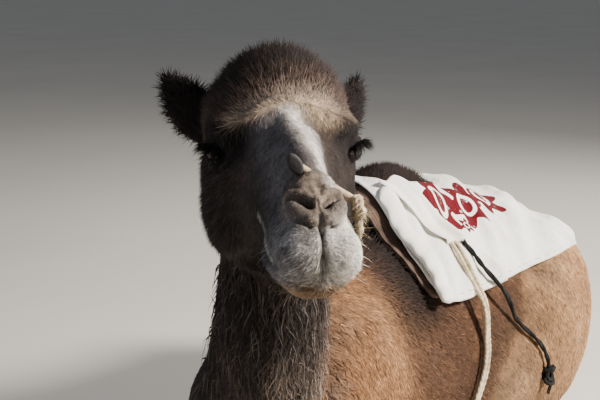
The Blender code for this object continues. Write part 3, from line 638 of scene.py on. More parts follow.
# Markings: the coat's colours, with some painted light and shade on the face and throat, laid on the skin
# point by point and handed on to every tuft.
BLACK_BROWN = shades(30, 24, 23)
PAD_BROWN = shades(70, 58, 50)
NOSTRIL_BROWN = shades(100, 90, 84)
DARK_BROWN = shades(60, 46, 40)
GRIZZLED = shades(122, 108, 98)
TAN = shades(176, 154, 128)
WARM_BROWN = shades(134, 94, 62)
FLANK_BROWN = shades(60, 40, 28)
DUSTY_TAN = shades(164, 129, 94)
PALE_GREY = shades(194, 188, 181)
SLATE = shades(84, 80, 83)
NOSE_BROWN = shades(146, 130, 116)
LIP_GREY = shades(134, 131, 132)
CHIN_TAN = shades(108, 87, 65)
EYE_RIM = shades(24, 18, 17)
LIP_PALE = shades(232, 224, 210)
THROAT_BROWN = shades(108, 95, 86)

# The pale strip down the bridge: partly the coat's grey hair, partly painted light, as it is set toward
# the lit left side of the nose.
STRIP = [(0.040, 0.004, 0.060), (0.090, 0.013, 0.047), (0.135, 0.022, 0.034)]
STRIP += [(0.185, 0.030, 0.016), (0.235, 0.030, 0.008)]
# Slate grey on the right side of the face: partly the coat's blue-grey, partly painted shade on the side
# turned from the light.
DARK_SIDE = [(0.070, -0.030, 0.040), (0.130, -0.028, 0.026), (0.200, -0.030, 0.008)]
EYE_INNER = [(0.040, 0.034, 0.058), (0.034, 0.058, 0.045)]
LASH_PATCH = [(0.036, 0.080, 0.012), (0.012, 0.102, 0.014), (-0.012, 0.106, 0.002)]
NOSE_END = [(0.240, 0.0, 0.014), (0.275, 0.0, 0.000), (0.300, 0.0, -0.012)]
CHIN = [(0.318, 0.0, -0.104), (0.290, 0.020, -0.112)]
UNDER_EYE = [(0.065, 0.070, -0.004), (0.115, 0.050, -0.008)]
# How far the brow's ledge stands over an even arch, from the right side of the head to the left.
# Its unevenness from side to side follows in part where the lit crown meets the shaded face, so the
# colour edge there is partly painted light and shade.
LEDGE_SPOTS = (-0.095, -0.052, -0.007, 0.03, 0.08)
LEDGE_RISES = (-0.008, -0.017, -0.004, 0.003, 0.008)


def painted(under, over, share):
    return under + (over - under) * np.clip(share, 0, 1)[:, None]


def layered(colours, *layers):
    """The colours with each layer laid over those before it: a colour and how much of it shows."""
    for colour, share in layers:
        colours = painted(colours, colour, share)
    return colours


def cloud(points, size, seed=0):
    """Soft random patches about that size, from 0 to 1."""
    lattice = np.random.default_rng(seed).random((32, 32, 32))
    spots = np.asarray(points) / size + 100.0
    first = np.floor(spots).astype(int)
    share = spots - first
    share = share * share * (3 - 2 * share)
    total = np.zeros(len(spots))
    for corner in np.ndindex(2, 2, 2):
        weight = np.prod(np.where(corner, share, 1 - share), axis=1)
        place = (first + corner) % 32
        total += weight * lattice[place[:, 0], place[:, 1], place[:, 2]]
    return total


def both_sides(line, width):
    return near(local, line, width) + near(local, mirrored(line), width)


height = places[:, 2]
behind = places[:, 1]
big = cloud(places, 0.16, 1)
small = cloud(places, 0.05, 2)
fine = cloud(places, 0.018, 3)
on_left = eased_step(normals[:, 0] + 0.3 * normals[:, 1], 0.0, 0.6)
dust = eased_step(0.55 * big + 0.45 * small, 0.42, 0.72)
stain = eased_step(0.5 * big + 0.5 * cloud(places, 0.09, 4), 0.50, 0.75)

rear_flank = eased_step(behind, 0.04, 0.17) * eased_step(-behind, -1.06, -0.74)
near_floor = eased_step(-height, -0.42, -0.20) * eased_step(behind, 0.1, 0.3)
withers = eased_step(behind, 0.12, 0.24) * eased_step(-behind, -0.40, -0.30)
withers *= eased_step(height, 0.68, 0.80)
neck_side = on_neck * on_left
# Throat patches: random patches of lighter brown, made lighter still on the lit left side as painted
# light.
throat_patches_lit_left = (0.30 + 0.70 * on_left) * (0.25 + 0.75 * eased_step(small, 0.40, 0.60))

marks_and_painted_light = layered(
    np.tile(WARM_BROWN, (len(places), 1)),
    (FLANK_BROWN, rear_flank),
    (WARM_BROWN, 0.6 * dust * eased_step(behind, 0.35, 0.7)),
    (DARK_BROWN, 0.85 * stain * eased_step(behind, 0.0, 0.2)),
    (BLACK_BROWN, 0.65 * near_floor),
    (DUSTY_TAN, 0.70 * on_haunch * (0.60 + 0.40 * dust)),
    (DUSTY_TAN, 0.60 * eased_step(behind, 0.85, 1.3) * (0.6 + 0.4 * dust)),
    (WARM_BROWN, on_shoulder),
    (TAN, 0.16 * on_shoulder * (0.5 + 0.5 * dust)),
    (WARM_BROWN, on_legs),
    (TAN, 0.2 * on_legs * dust),
    (FLANK_BROWN, on_feet),
    (DARK_BROWN, on_hump),
    (BLACK_BROWN, on_hump * (0.75 + 0.25 * eased_step(small, 0.4, 0.7))),
    (BLACK_BROWN, 0.92 * withers),
    (BLACK_BROWN, on_neck),
    (DARK_BROWN, neck_side),
    (WARM_BROWN, neck_side * eased_step(-height, -1.08, -0.86)),
    (TAN, 0.28 * neck_side * dust * eased_step(-height, -1.0, -0.8)),
    (BLACK_BROWN, throat * 1.2),
    (THROAT_BROWN, throat * throat_patches_lit_left),
    (BLACK_BROWN, on_neck * eased_step(height, 1.00, 1.14)),
    (DARK_BROWN, on_tail),
    (BLACK_BROWN, on_tuft),
    (PAD_BROWN, on_pad),
)

# How far a point is above the ledge of the brow, which dips to each side from its peak.
above_brow = local[:, 2] - 0.064 + 3.6 * local[:, 1] ** 2 - 0.45 * (local[:, 0] - 0.02)
above_brow -= np.interp(local[:, 1], LEDGE_SPOTS, LEDGE_RISES)
on_crown = eased_step(above_brow, -0.002, 0.005) * eased_step(local[:, 0], -0.07, -0.01)
crown_sides = eased_step(np.abs(local[:, 1]), 0.045, 0.085) * (above_brow > 0.006)
ledge = np.exp(-(((above_brow - 0.003) / 0.0105) ** 2))
ledge *= eased_step(above_brow, -0.007, -0.001) * (local[:, 0] > -0.02)
back_of_head = eased_step(-local[:, 0], 0.045, 0.12) * eased_step(-above_brow, -0.03, 0.01)
streaks = cloud(local * (0.4, 1, 1), 0.0042, 9)
lip_streaks = eased_step(cloud(local * (1, 1, 0.35), 0.009, 8), 0.45, 0.75)
# Painted light: the tan ledge of the brow is brighter on the lit left side of the head than on the shaded
# right.
lit_side_ledge = 0.60 + 0.40 * eased_step(local[:, 1], -0.02, 0.01)
# Painted light on the nose: its brown gives way on the lit left side, where the pale strip shows as a lit
# plane, and nose_shade darkens its shaded right side.
nose_brown_off_lit_side = 1 - 0.45 * eased_step(local[:, 1], 0.002, 0.014)
nose_top = nose_brown_off_lit_side * near(local, NOSE_END, 0.021) * eased_step(local[:, 2], -0.024, -0.016)
nose_shade = near(local, NOSE_END, 0.030) * eased_step(-local[:, 1], -0.008, 0.010)

face = layered(
    np.tile(BLACK_BROWN, (len(places), 1)),
    (DARK_BROWN, 0.7 * eased_step(local[:, 2], -0.055, 0.010)),
    # Partly painted shade: slate grey on the shaded right side of the face.
    (SLATE, 1.2 * near(local, DARK_SIDE, 0.036)),
    # Pale strip: partly grey hair, partly painted light on the lit side of the bridge.
    (PALE_GREY, 1.3 * near(local, STRIP, 0.0165) * (0.35 + 1.1 * streaks)),
    (GRIZZLED, on_crown),
    (DARK_BROWN, 0.9 * eased_step(above_brow + 0.016 * small, 0.024, 0.052)),
    (DARK_BROWN, 0.8 * crown_sides),
    (BLACK_BROWN, 0.9 * eased_step(above_brow + 0.02 * small, 0.050, 0.082)),
    # Tan ledge of the brow: partly tan hair, partly painted light on the lit left side.
    (TAN, (0.05 + 0.8 * streaks) * lit_side_ledge * ledge),
    (BLACK_BROWN, back_of_head),
    # Tan inside the eye, on the lit left side only: partly tan hair, partly painted light.
    (TAN, (0.4 + streaks) * near(local, EYE_INNER, 0.017)),
    # Partly painted shade: slate grey on the shaded right side of the muzzle.
    (SLATE, eased_step(local[:, 0], 0.19, 0.25) * eased_step(-local[:, 1], -0.020, 0.0)),
    # The split lip: its lit left lobe painted pale and its shaded right lobe grey and dark, partly the
    # lips' own colours and partly painted light and shade.
    (LIP_GREY, 1.2 * near(local, mirrored(LIP_LOBE), 0.032)),
    (LIP_PALE, 1.3 * near(local, LIP_LOBE, 0.034)),
    (DARK_BROWN, 0.55 * near(local, mirrored(LIP_LOBE), 0.045) * lip_streaks),
    (LIP_GREY, 0.5 * near(local, LIP_LOBE, 0.045) * lip_streaks),
    (PALE_GREY, 0.55 * both_sides(UPPER_LIP_EDGE, 0.005)),
    (CHIN_TAN, both_sides(CHIN, 0.022)),
    # Nose brown, held back on the lit left side as painted light.
    (NOSE_BROWN, 1.3 * nose_top),
    (NOSE_BROWN, 1.2 * nose_brown_off_lit_side * both_sides(NOSTRIL_FLAP, 0.011)),
)
face = layered(
    face * (1 - 0.62 * nose_shade)[:, None],
    (NOSTRIL_BROWN, both_sides(NOSTRIL_PAD, 0.009)),
    # Near-black in the nose pad's rim, the nostril slits, the lip cleft and the gap round each eyeball:
    # painted shade in these grooves and hollows, with the lids' own dark rims.
    (BLACK_BROWN, 0.8 * both_sides(PAD_RIM, 0.0032)),
    (EYE_RIM, both_sides(NOSTRIL, 0.0055) + near(local, LIP_CLEFT, 0.003)),
    (EYE_RIM, 1.4 * both_sides(LASH_PATCH, 0.036) + eye_opening),
    (BLACK_BROWN, 0.8 * near(local, UNDER_EYE, 0.028)),
)
marks_and_painted_light = layered(marks_and_painted_light, (face, 1.5 * on_head), (BLACK_BROWN, 2.0 * on_ear))
marks_and_painted_light = marks_and_painted_light * (0.66 + 0.34 * small + 0.30 * fine)[:, None]


def set_colours(mesh, name, colours):
    layer = mesh.attributes.new(name, "FLOAT_COLOR", "POINT")
    flat = np.ones((len(colours), 4), np.float32)
    flat[:, :3] = colours
    layer.data.foreach_set("color", flat.ravel())


set_colours(skin.data, "marking", marks_and_painted_light)


# ---------------------------------------------------------------- coat
# Rough winter hair over the whole hide, in thousands of small tufts that follow its lie: back
# and down along the body, down the neck into a shaggy throat, up and out into a bristly crown.
# Every tuft is a thin tapered blade rooted in the hide, with the hide's colour at its root.

PATCH = 0.003  # how far a tuft's patch reaches across the map
STUB_RINGS = (0.0,)
SHORT_RINGS = (0.0, 0.5)
LONG_RINGS = (0.0, 0.38, 0.72)
BLADE_THICKNESS = 0.42


def unwrapped(thing):
    """A map of the object's own surface, laid flat island by island."""
    for other in bpy.context.selected_objects:
        other.select_set(False)
    bpy.context.view_layer.objects.active = thing
    thing.select_set(True)
    bpy.ops.object.mode_set(mode="EDIT")
    bpy.ops.mesh.select_all(action="SELECT")
    bpy.ops.uv.smart_project(angle_limit=math.radians(66), island_margin=0.001)
    bpy.ops.object.mode_set(mode="OBJECT")
    thing.select_set(False)
    thing.data.uv_layers[0].name = "OFBake"


unwrapped(skin)
corners = read(skin.data.loops, "vertex_index", 1, np.int64).reshape(-1, 3)
corner_map = read(skin.data.uv_layers["OFBake"].uv, "vector", 2).reshape(-1, 3, 2)
sides_of_faces = places[corners[:, 1:]] - places[corners[:, :1]]
face_areas = np.linalg.norm(np.cross(sides_of_faces[:, 0], sides_of_faces[:, 1]), axis=1) / 2


def unit(vectors):
    return vectors / np.maximum(np.linalg.norm(vectors, axis=-1, keepdims=True), 1e-9)


def toward(start, end):
    return np.array((centre_of(end) - centre_of(start)).normalized())


def lies_of_parts():
    """The way the hair lies on each part of the body but the head, before it is laid flat."""
    lies = {"hump": (0.0, 0.25, 0.9), "breast_pad": (0, 0, -1), "tail": (0, 0.2, -1)}
    lies["tail_tuft"] = (0, 0.1, -1)
    for side in SIDES:
        lies[f"shoulder_{side}"] = (0.0, 0.15, -1.0)
        lies[f"thigh_{side}"] = (0.0, 0.35, -0.9)
        lies[f"ear_{side}"] = np.array((0, 0, 0.8)) - np.array(head_ahead) * 0.6
        for start, end in (("forearm", "fore_cannon"), ("fore_cannon", "fore_foot"),
                           ("shank", "hind_cannon"), ("hind_cannon", "hind_foot")):
            lies[f"{start}_{side}"] = toward(f"{start}_{side}", f"{end}_{side}")
        lies[f"fore_foot_{side}"] = lies[f"fore_cannon_{side}"]
        lies[f"hind_foot_{side}"] = lies[f"hind_cannon_{side}"]
    neck = -toward("neck_lower", "neck_upper") * 0.8 + np.array((0, 0, -0.6))
    lies["neck_lower"] = neck
    lies["neck_upper"] = neck
    return lies


def lie_on_head():
    """The lie on the head: down the face, back on the cheeks, out on the crown, down the lips."""
    down_face = np.array((0.85, 0.0, -0.45))
    outward = local * (0.0, 1.0, 1.0) - np.array((0, 0, -0.03))
    from_crown = unit(local * (0.3, 1.0, 0.6) + np.array((-0.05, 0, 0.04)))
    parting = np.clip(local[:, 1] / 0.006, -1, 1)[:, None] * np.array((-0.1, 0.9, 0.0))
    cheeks = eased_step(np.abs(local[:, 1]), 0.035, 0.075) * eased_step(-local[:, 2], -0.035, 0.02)
    lips = eased_step(local[:, 0], 0.20, 0.27) * eased_step(-local[:, 2], -0.005, 0.02)
    return layered(
        down_face + unit(outward) * (0.0, 0.35, 0.0),
        (np.array((-0.75, 0.0, -0.65)), cheeks),
        (from_crown, eased_step(above_brow, -0.004, 0.010)),
        (parting + np.array((0.1, 0.0, -0.5)), lips),
    )


def lie_of_coat():
    """The way the hair lies at every point of the skin, along its surface."""
    lie = np.tile((0.0, 0.72, -0.62), (len(places), 1))
    lie = np.where((parts == flesh.index("trunk"))[:, None], lie, 0)
    for name, way in lies_of_parts().items():
        lie[parts == flesh.index(name)] = way
    lie = painted(lie, lie_on_head() @ HEAD_AXES, on_head)
    lie = eased(unit(lie), pairs, 0.5, 12)
    lie -= normals * np.sum(lie * normals, axis=1)[:, None]
    return unit(lie)


lie = lie_of_coat()


def blade_faces(rings):
    """The triangles of one blade: its foot, the bands between its rings, and its tip."""
    faces = [(0, 1, 2)]
    for ring in range(rings - 1):
        for edge in range(3):
            a, b = 3 * ring + edge, 3 * ring + (edge + 1) % 3
            faces += [(a, a + 3, b), (b, a + 3, b + 3)]
    last = 3 * (rings - 1)
    faces += [(last + edge, last + 3, last + (edge + 1) % 3) for edge in range(3)]
    return np.array(faces)


def blade_lines(roots, ways, sides, rises, lengths, along, shape):
    """Each blade's middle line: it starts along its way and ends bent to its rise and its sag."""
    ends = unit(ways + shape.get("bend", -0.35) * rises + np.asarray(shape.get("sag", (0, 0, 0))))
    reach = along[None, :, None]
    line = roots[:, None] + lengths * (
        ways[:, None] * (reach - reach ** 2 / 2) + ends[:, None] * (reach ** 2 / 2)
    )
    wave = shape.get("wave")
    if wave is not None:
        wave = wave[:, None, None]
        line += sides[:, None] * (wave * np.sin(4.4 * reach + wave * 900))
    return line


def blades(name, roots, ways, sides, rises, lengths, widths, colours, maps, **shape):
    """One mesh of thin blades, each with three corners to a ring and tapered to a tip."""
    rings = shape.get("rings", STUB_RINGS)
    count = len(roots)
    along = np.array([*rings, 1.0])
    lengths = np.broadcast_to(lengths, count)[:, None, None]
    widths = np.broadcast_to(widths, count)[:, None, None]
    line = blade_lines(roots, ways, sides, rises, lengths, along, shape)
    spread = widths * (1 - along[None, :-1, None] ** 1.6) / 2
    across = sides[:, None] * spread
    lift = rises[:, None] * spread * BLADE_THICKNESS
    middle = line[:, :-1]
    corners_of_rings = np.stack([middle - across - lift, middle + across - lift, middle + lift], axis=2)
    points = np.concatenate([corners_of_rings.reshape(count, -1, 3), line[:, -1:]], axis=1)
    starts = np.arange(count)[:, None, None] * points.shape[1]
    facing = shape.get("soft", rises)
    ring_normals = np.stack([facing - 0.9 * sides, facing + 0.9 * sides, facing], axis=1)
    soft_normals = np.concatenate([np.tile(ring_normals, (1, len(rings), 1)), facing[:, None]], axis=1)
    faces = blade_faces(len(rings))
    return joined(name, points, faces, starts, colours, maps, along, unit(soft_normals))


def joined(name, points, faces, starts, colours, maps, along, soft_normals):
    """The blades' corner points and faces as one object, coloured and mapped at their roots."""
    count, per_blade = points.shape[:2]
    corner_list = (faces[None] + starts).ravel()
    mesh = bpy.data.meshes.new(name)
    mesh.vertices.add(count * per_blade)
    mesh.vertices.foreach_set("co", points.astype(np.float32).ravel())
    mesh.loops.add(len(corner_list))
    mesh.loops.foreach_set("vertex_index", corner_list.astype(np.int32))
    mesh.polygons.add(len(corner_list) // 3)
    mesh.polygons.foreach_set("loop_start", np.arange(0, len(corner_list), 3, dtype=np.int32))
    mesh.update(calc_edges=True)
    mesh.shade_smooth()
    mesh.normals_split_custom_set_from_vertices(soft_normals.reshape(-1, 3))
    share = np.append(np.repeat(along[:-1], 3), 1.0)
    side = np.append(np.tile((-0.5, 0.5, 0.0), len(along) - 1), 0.0)
    tint = (0.62 + 0.72 * share)[None, :, None]
    set_colours(mesh, "marking", np.clip(colours[:, None] * tint, 0, 1).reshape(-1, 3))
    patch = np.stack([side, share - 0.5], axis=1) * PATCH
    flat = maps[:, None] + patch[None]
    layer = mesh.uv_layers.new(name="OFBake")
    layer.uv.foreach_set("vector", flat.reshape(-1, 2)[corner_list].astype(np.float32).ravel())
    made = bpy.data.objects.new(name, mesh)
    bpy.context.scene.collection.objects.link(made)
    return made


random = np.random.default_rng(20)


def lock_colours(colours, flow, width, shape):
    """The hide's colours at the roots, parted into locks and mixed with pale hairs.

    Mottle and clump are the strength and the size of the locks, in the tufts' own widths. Grey
    is the share of pale hairs, and hoar is how pale those are.
    """
    count = len(colours)
    mottle = shape.pop("mottle", 0.30)
    clump = cloud(flow, shape.pop("clump", 3.2) * width, 5) - 0.5
    dim = np.exp(random.normal(0, 0.5 * mottle, count) + 2.2 * mottle * clump)[:, None]
    pale = (random.random(count) < shape.pop("grey", 0.0))[:, None]
    hoary = colours * dim * 1.5 + PALE_GREY * shape.pop("hoar", 0.1)
    return np.where(pale, hoary, colours * dim)


def tufts(name, count, weight, length, width, lift, **shape):
    """Tufts spread over the skin by the weight, in the coat's lie and in the hide's colours."""
    rough = shape.pop("rough", 0.18)
    chances = face_areas * np.clip(weight[corners].mean(axis=1), 0, None)
    faces = random.choice(len(corners), count, p=chances / chances.sum())
    shares = random.dirichlet((1, 1, 1), count)
    three = corners[faces]

    def at_roots(values):
        return np.einsum("nk,nk...->n...", shares, values[three])

    rises = unit(at_roots(normals))
    ways = unit(at_roots(lie) + random.normal(0, rough, (count, 3)))
    steep = np.clip(at_roots(lift + 0 * weight) * random.uniform(0.6, 1.4, count), 0, 1.4)[:, None]
    ways = unit(ways - rises * np.sum(ways * rises, axis=1)[:, None])
    ways = ways * np.cos(steep) + rises * np.sin(steep)
    sides = unit(np.cross(ways, rises))
    up = np.cross(sides, ways)
    lengths = at_roots(length + 0 * weight) * random.uniform(0.7, 1.25, count)
    widths = at_roots(width + 0 * weight) * random.uniform(0.7, 1.3, count)
    roots = at_roots(places) - rises * widths[:, None] * 0.25
    flow = roots - ways * np.sum(roots * ways, axis=1)[:, None] * 0.7
    colours = lock_colours(at_roots(marks_and_painted_light), flow, widths.mean(), shape)
    maps = np.einsum("nk,nkd->nd", shares, corner_map[faces])
    if "wave" in shape:
        shape["wave"] = random.uniform(0.5, 1.5, count) * shape["wave"]
    shape["soft"] = unit(rises + 0.35 * up)
    made = blades(name, roots, ways, sides, up, lengths, widths, colours, maps, **shape)
    made.data.materials.append(coat_material)
    return made


def coat_finish():
    finish = Finish("camel_coat", Roughness=0.80)
    finish.surface.inputs["Specular IOR Level"].default_value = 0.16
    marking = finish.attribute("marking")
    clumps = finish.ramp(finish.noise(75, 4, 0.65), (0.36, (0.55,) * 3), (0.64, (1.0,) * 3))
    tinted = finish.mixed(0.8, marking, clumps, "MULTIPLY")
    fur = finish.noise(190, 4, 0.7)
    return finish.done(colour=tinted, normal=finish.bump(fur, 0.004, 0.5))


coat_material = coat_finish()
skin.data.materials.clear()
skin.data.materials.append(coat_material)
skin.data.shade_smooth()

AXIS_ACROSS, AXIS_HEIGHT = -0.088, 0.60  # the line along the back that angles are turned about
OPENING = (0.520, 0.192, 13.0)  # middle and half length along the back, half angle round it
# The stretch of the back under the saddle: its front, its middle on the spine, how much further
# back the middle is at the hem, and the hem's angle.
COVER_FRONT, COVER_MIDDLE, COVER_SLANT, COVER_ANGLE = 0.286, 0.66, 0.07, 61.5


def bare_of_cloth():
    """1 where the saddle leaves the coat bare, 0 under it."""
    across, up = places[:, 0] - AXIS_ACROSS, places[:, 2] - AXIS_HEIGHT
    angle = np.degrees(np.arctan2(across, up))
    in_opening = np.sqrt(((behind - OPENING[0]) / OPENING[1]) ** 2 + (angle / OPENING[2]) ** 2)
    side = np.abs(angle) / COVER_ANGLE
    middle = COVER_MIDDLE + COVER_SLANT * side
    in_cloth = (np.abs(behind - middle) / (middle - COVER_FRONT)) ** 8 + side ** 8
    return np.maximum(eased_step(-in_opening, -1.12, -1.02), eased_step(in_cloth, 0.90, 1.3))


uncovered = bare_of_cloth()
bristly = on_head * eased_step(above_brow, -0.004, 0.008)
bristle_share = eased_step(above_brow, 0.010, 0.070)
hairless = np.clip(both_sides(NOSTRIL, 0.007) + eye_opening + near(local, LIP_CLEFT, 0.004), 0, 1)
on_lips = on_head * eased_step(local[:, 0], 0.20, 0.25)
on_nose = near(local, NOSE_END, 0.034) + both_sides(NOSTRIL_FLAP, 0.020) + both_sides(NOSTRIL_PAD, 0.014)
on_nose = np.clip(1.3 * on_nose, 0, 1)
on_face = on_head * (1 - bristly) * (1 - on_lips) * (1 - hairless)
on_trunk = uncovered * np.clip(1 - on_head - on_neck - on_hump - on_feet - on_tail - on_ear, 0, 1)
off_floor = eased_step(places[:, 2], 0.012, 0.05)
bare_flank = on_trunk * (1 - on_shoulder) * (1 - on_haunch) * (1 - on_legs) * (1 - withers)
seen_side = 0.30 + 0.70 * eased_step(normals[:, 0] - 0.3 * normals[:, 1], -0.2, 0.4)

shaggy_cheek = eased_step(-local[:, 0], -0.02, 0.06) * eased_step(-local[:, 2], 0.0, 0.08)
ragged = eased_step(-local[:, 1], 0.050, 0.078) * eased_step(-local[:, 0], -0.09, -0.03)
shaggy_cheek = np.maximum(shaggy_cheek, 1.5 * ragged)
# Each kind of hair: how many tufts, where, how long, how wide and how steep they stand.
coat = [
    tufts("crown_bristles", 26000, bristly, 0.011 + 0.013 * bristle_share, 0.0016,
          0.30 + 0.50 * bristle_share, rough=0.28, mottle=0.50, grey=0.30, hoar=0.012),
    tufts("face_hair", 40000, on_face, 0.0085 + 0.010 * shaggy_cheek, 0.0013,
          0.24 + 0.14 * shaggy_cheek, mottle=0.50, grey=0.22, hoar=0.045),
    tufts("muzzle_hair", 28000, on_lips * (1 - hairless), 0.0080 - 0.0046 * on_nose, 0.0011, 0.36,
          mottle=0.55, grey=0.30, hoar=0.10),
    tufts("whiskers", 130, on_lips * (local[:, 2] < -0.04), 0.020, 0.0005, 0.8,
          rings=SHORT_RINGS, grey=0.8),
    tufts("ear_hair", 6000, on_ear, 0.026, 0.0016, 0.50, rough=0.6, sag=(0, 0, -0.3), rings=SHORT_RINGS),
    tufts("neck_hair", 28000, on_neck * (1 - 0.6 * throat), 0.020, 0.0024, 0.22, rough=0.25, mottle=0.30),
    tufts("throat_locks", 8000, throat * on_neck, 0.060, 0.0034, 0.30, rings=LONG_RINGS,
          sag=(0, 0, -0.8), wave=0.006, rough=0.32, mottle=0.60, grey=0.16),
    tufts("throat_underhair", 8000, throat * on_neck, 0.040, 0.0032, 0.36, rings=LONG_RINGS,
          sag=(0, 0, -0.7), wave=0.005, rough=0.45, mottle=0.60, grey=0.04),
    tufts("hump_hair", 13000, on_hump * uncovered, 0.032, 0.0024, 0.85, rough=0.5, bend=0.2,
          rings=SHORT_RINGS),
    tufts("withers_hair", 5000, withers * uncovered * (1 - on_hump), 0.030, 0.0026, 0.40, rough=0.4,
          rings=SHORT_RINGS),
    tufts("shoulder_hair", 27000, on_shoulder * on_trunk * seen_side, 0.021, 0.0034, 0.28,
          mottle=0.62, clump=4.6),
    tufts("flank_hair", 33000, bare_flank * seen_side * off_floor, 0.024, 0.0040, 0.28,
          mottle=0.70, clump=4.6),
    tufts("far_flank_hair", 12000, bare_flank * (1 - seen_side) * off_floor, 0.022, 0.0036, 0.20),
    tufts("haunch_hair", 24000, on_haunch * on_trunk * off_floor * seen_side, 0.022, 0.0038, 0.27,
          mottle=0.66, clump=4.6),
    tufts("leg_hair", 12000, np.clip(on_legs + on_feet, 0, 1) * off_floor, 0.011, 0.0022, 0.16),
    tufts("tail_hair", 3500, on_tail * (1 - on_tuft), 0.024, 0.0026, 0.25),
    tufts("tail_tuft_hair", 2000, on_tuft, 0.050, 0.0030, 0.30, rings=LONG_RINGS, sag=(0, 0, -0.6)),
]
for piece in [skin, *coat]:
    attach(piece, "root")
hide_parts(*flesh)


# ---------------------------------------------------------------- eyes and lashes
# Wet, nearly black brown eyes with a level pupil. Each ball sits between its two lids. Several
# rows of thick black lashes are rooted along the upper lid and curve out and down over it.

EYE_STEPS = 64
BALL_IN_LIDS = 0.0004
CORNEA_BULGE = 0.0012
LASH_ROWS, LASHES_PER_ROW = 5, 46
EYE_BLACK, IRIS_BROWN, PUPIL_BLACK = shades(16, 10, 9), shades(46, 27, 18), shades(8, 6, 6)


def eyeball_finish():
    finish = Finish("wet_eye", Roughness=0.35, Coat_Weight=0.22, Coat_Roughness=0.05)
    finish.surface.inputs["Specular IOR Level"].default_value = 0.25
    return finish.done(colour=finish.attribute("marking"))


eye_material = eyeball_finish()
lash_material = Finish("lash_hair", Roughness=0.55).done(colour=(0.006, 0.005, 0.005, 1.0))


def eyeball(side):
    """The ball inside the lids: a clear bulge over a brown iris with a dark level pupil."""
    look = eye_axes(side)[0]
    shape = bmesh.new()
    bmesh.ops.create_uvsphere(shape, u_segments=EYE_STEPS, v_segments=EYE_STEPS // 2, radius=1.0)
    ball = linked(f"eyeball_{side}", shape, eye_material)
    around = places_of(ball.data)
    ahead = around @ look
    level = np.cross((0, 0, 1.0), look)
    level /= np.linalg.norm(level)
    across, up = around @ level, around @ np.cross(look, level)
    cornea = eased_step(ahead, 0.80, 0.98)
    middle = in_head(centre_of(f"eye_{side}"))
    radius = EYE_RADIUS - BALL_IN_LIDS + CORNEA_BULGE * cornea
    put_places(ball.data, from_head(middle + around * radius[:, None]))
    ball.data.shade_smooth()
    spread = np.sqrt(across ** 2 + up ** 2)
    iris = eased_step(-spread, -0.62, -0.52) * (ahead > 0)
    oval = np.sqrt((across / 0.34) ** 2 + (up / 0.15) ** 2)
    pupil = eased_step(-oval, -1.15, -0.85) * (ahead > 0)
    iris_edge = 0.7 * np.exp(-(((spread - 0.60) / 0.05) ** 2))
    tint = np.tile(EYE_BLACK, (len(around), 1))
    tint = layered(tint, (IRIS_BROWN, iris), (PUPIL_BLACK, pupil + iris_edge))
    set_colours(ball.data, "marking", tint)
    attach(ball, "root")
    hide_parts(f"eye_{side}")


def hairs(name, roots, ways, rises, length, width, colour, material, **shape):
    """Free blades, all of one colour, mapped where the skin is nearest to their roots."""
    count = len(roots)
    ways = unit(ways)
    sides = unit(np.cross(ways, rises))
    colours = np.tile(colour, (count, 1)) * np.exp(random.normal(0, 0.12, (count, 1)))
    nearest = [COAT_HULL.find_nearest(root)[2] for root in roots.tolist()]
    maps = corner_map[nearest].mean(axis=1)
    up = np.cross(sides, ways)
    made = blades(name, roots, ways, sides, up, length, width, colours, maps, **shape)
    made.data.materials.append(material)
    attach(made, "root")
    return made


def lashes(side):
    """Rows of lashes along the upper lid, out and down over the eye."""
    look, corner_line, upward = eye_axes(side)
    count = LASH_ROWS * LASHES_PER_ROW
    share = np.tile(np.linspace(-1.05, 1.05, LASHES_PER_ROW), LASH_ROWS) + random.normal(0, 0.02, count)
    row = np.repeat(np.arange(LASH_ROWS), LASHES_PER_ROW)
    along = share * OPENING_HALF_LENGTH
    up = OPENING_ABOVE * np.sqrt(np.clip(1 - share ** 2, 0, 1)) + 0.0006 + 0.0016 * row
    ahead = unit(look + corner_line * (along / EYE_RADIUS)[:, None] + upward * (up / EYE_RADIUS)[:, None])
    roots = in_head(centre_of(f"eye_{side}")) + ahead * (EYE_RADIUS + LID_THICK * 0.7)
    droop = upward * random.normal(-0.05, 0.20, (count, 1))
    ways = ahead * 0.8 + corner_line * (share * 0.35)[:, None] + droop
    lengths = random.uniform(0.016, 0.027, count)
    rises = np.tile(upward @ HEAD_AXES, (count, 1))
    hairs(f"lashes_{side}", from_head(roots), ways @ HEAD_AXES, rises, lengths, 0.0013,
          BLACK_BROWN * 0.4, lash_material, rings=LONG_RINGS, sag=(0, 0, -1.1))


for side in SIDES:
    eyeball(side)
    lashes(side)


# ---------------------------------------------------------------- nails and nose peg
# Short dark horn toenails, two to a foot, grown at the front of each pad. A thin whittled stick
# goes through the nose from side to side, with a worn knob on its right end.

PEG_RIGHT = (0.222, -0.014, 0.028)
PEG_LEFT = (0.222, 0.064, -0.022)
PEG_BENDS = [(0.222, 0.012, 0.011), (0.222, 0.040, -0.007)]
PEG_RINGS = 24
KNOB_AT = (0.226, -0.017, 0.030)
KNOB_HALF_SIZE = (0.0080, 0.0088, 0.0140)
KNOB_TILT = math.radians(30)


def horn_finish():
    finish = Finish("toenail_horn", Roughness=0.5)
    grain = finish.noise(90, 4, stretch=(1, 1, 0.2))
    tint = finish.ramp(grain, (0.3, (0.030, 0.024, 0.018)), (0.7, (0.10, 0.080, 0.058)))
    return finish.done(colour=tint, normal=finish.bump(grain, 0.002, 0.6))


def wood_finish():
    finish = Finish("peg_wood", Roughness=0.6)
    grain = finish.noise(220, 3)
    tint = finish.ramp(grain, (0.3, (0.24, 0.16, 0.10)), (0.7, (0.46, 0.35, 0.24)))
    return finish.done(colour=tint, normal=finish.bump(grain, 0.001, 0.5))


horn_material = horn_finish()
for name, node in nodes.items():
    if "nail" in name:
        node.data.materials.clear()
        node.data.materials.append(horn_material)


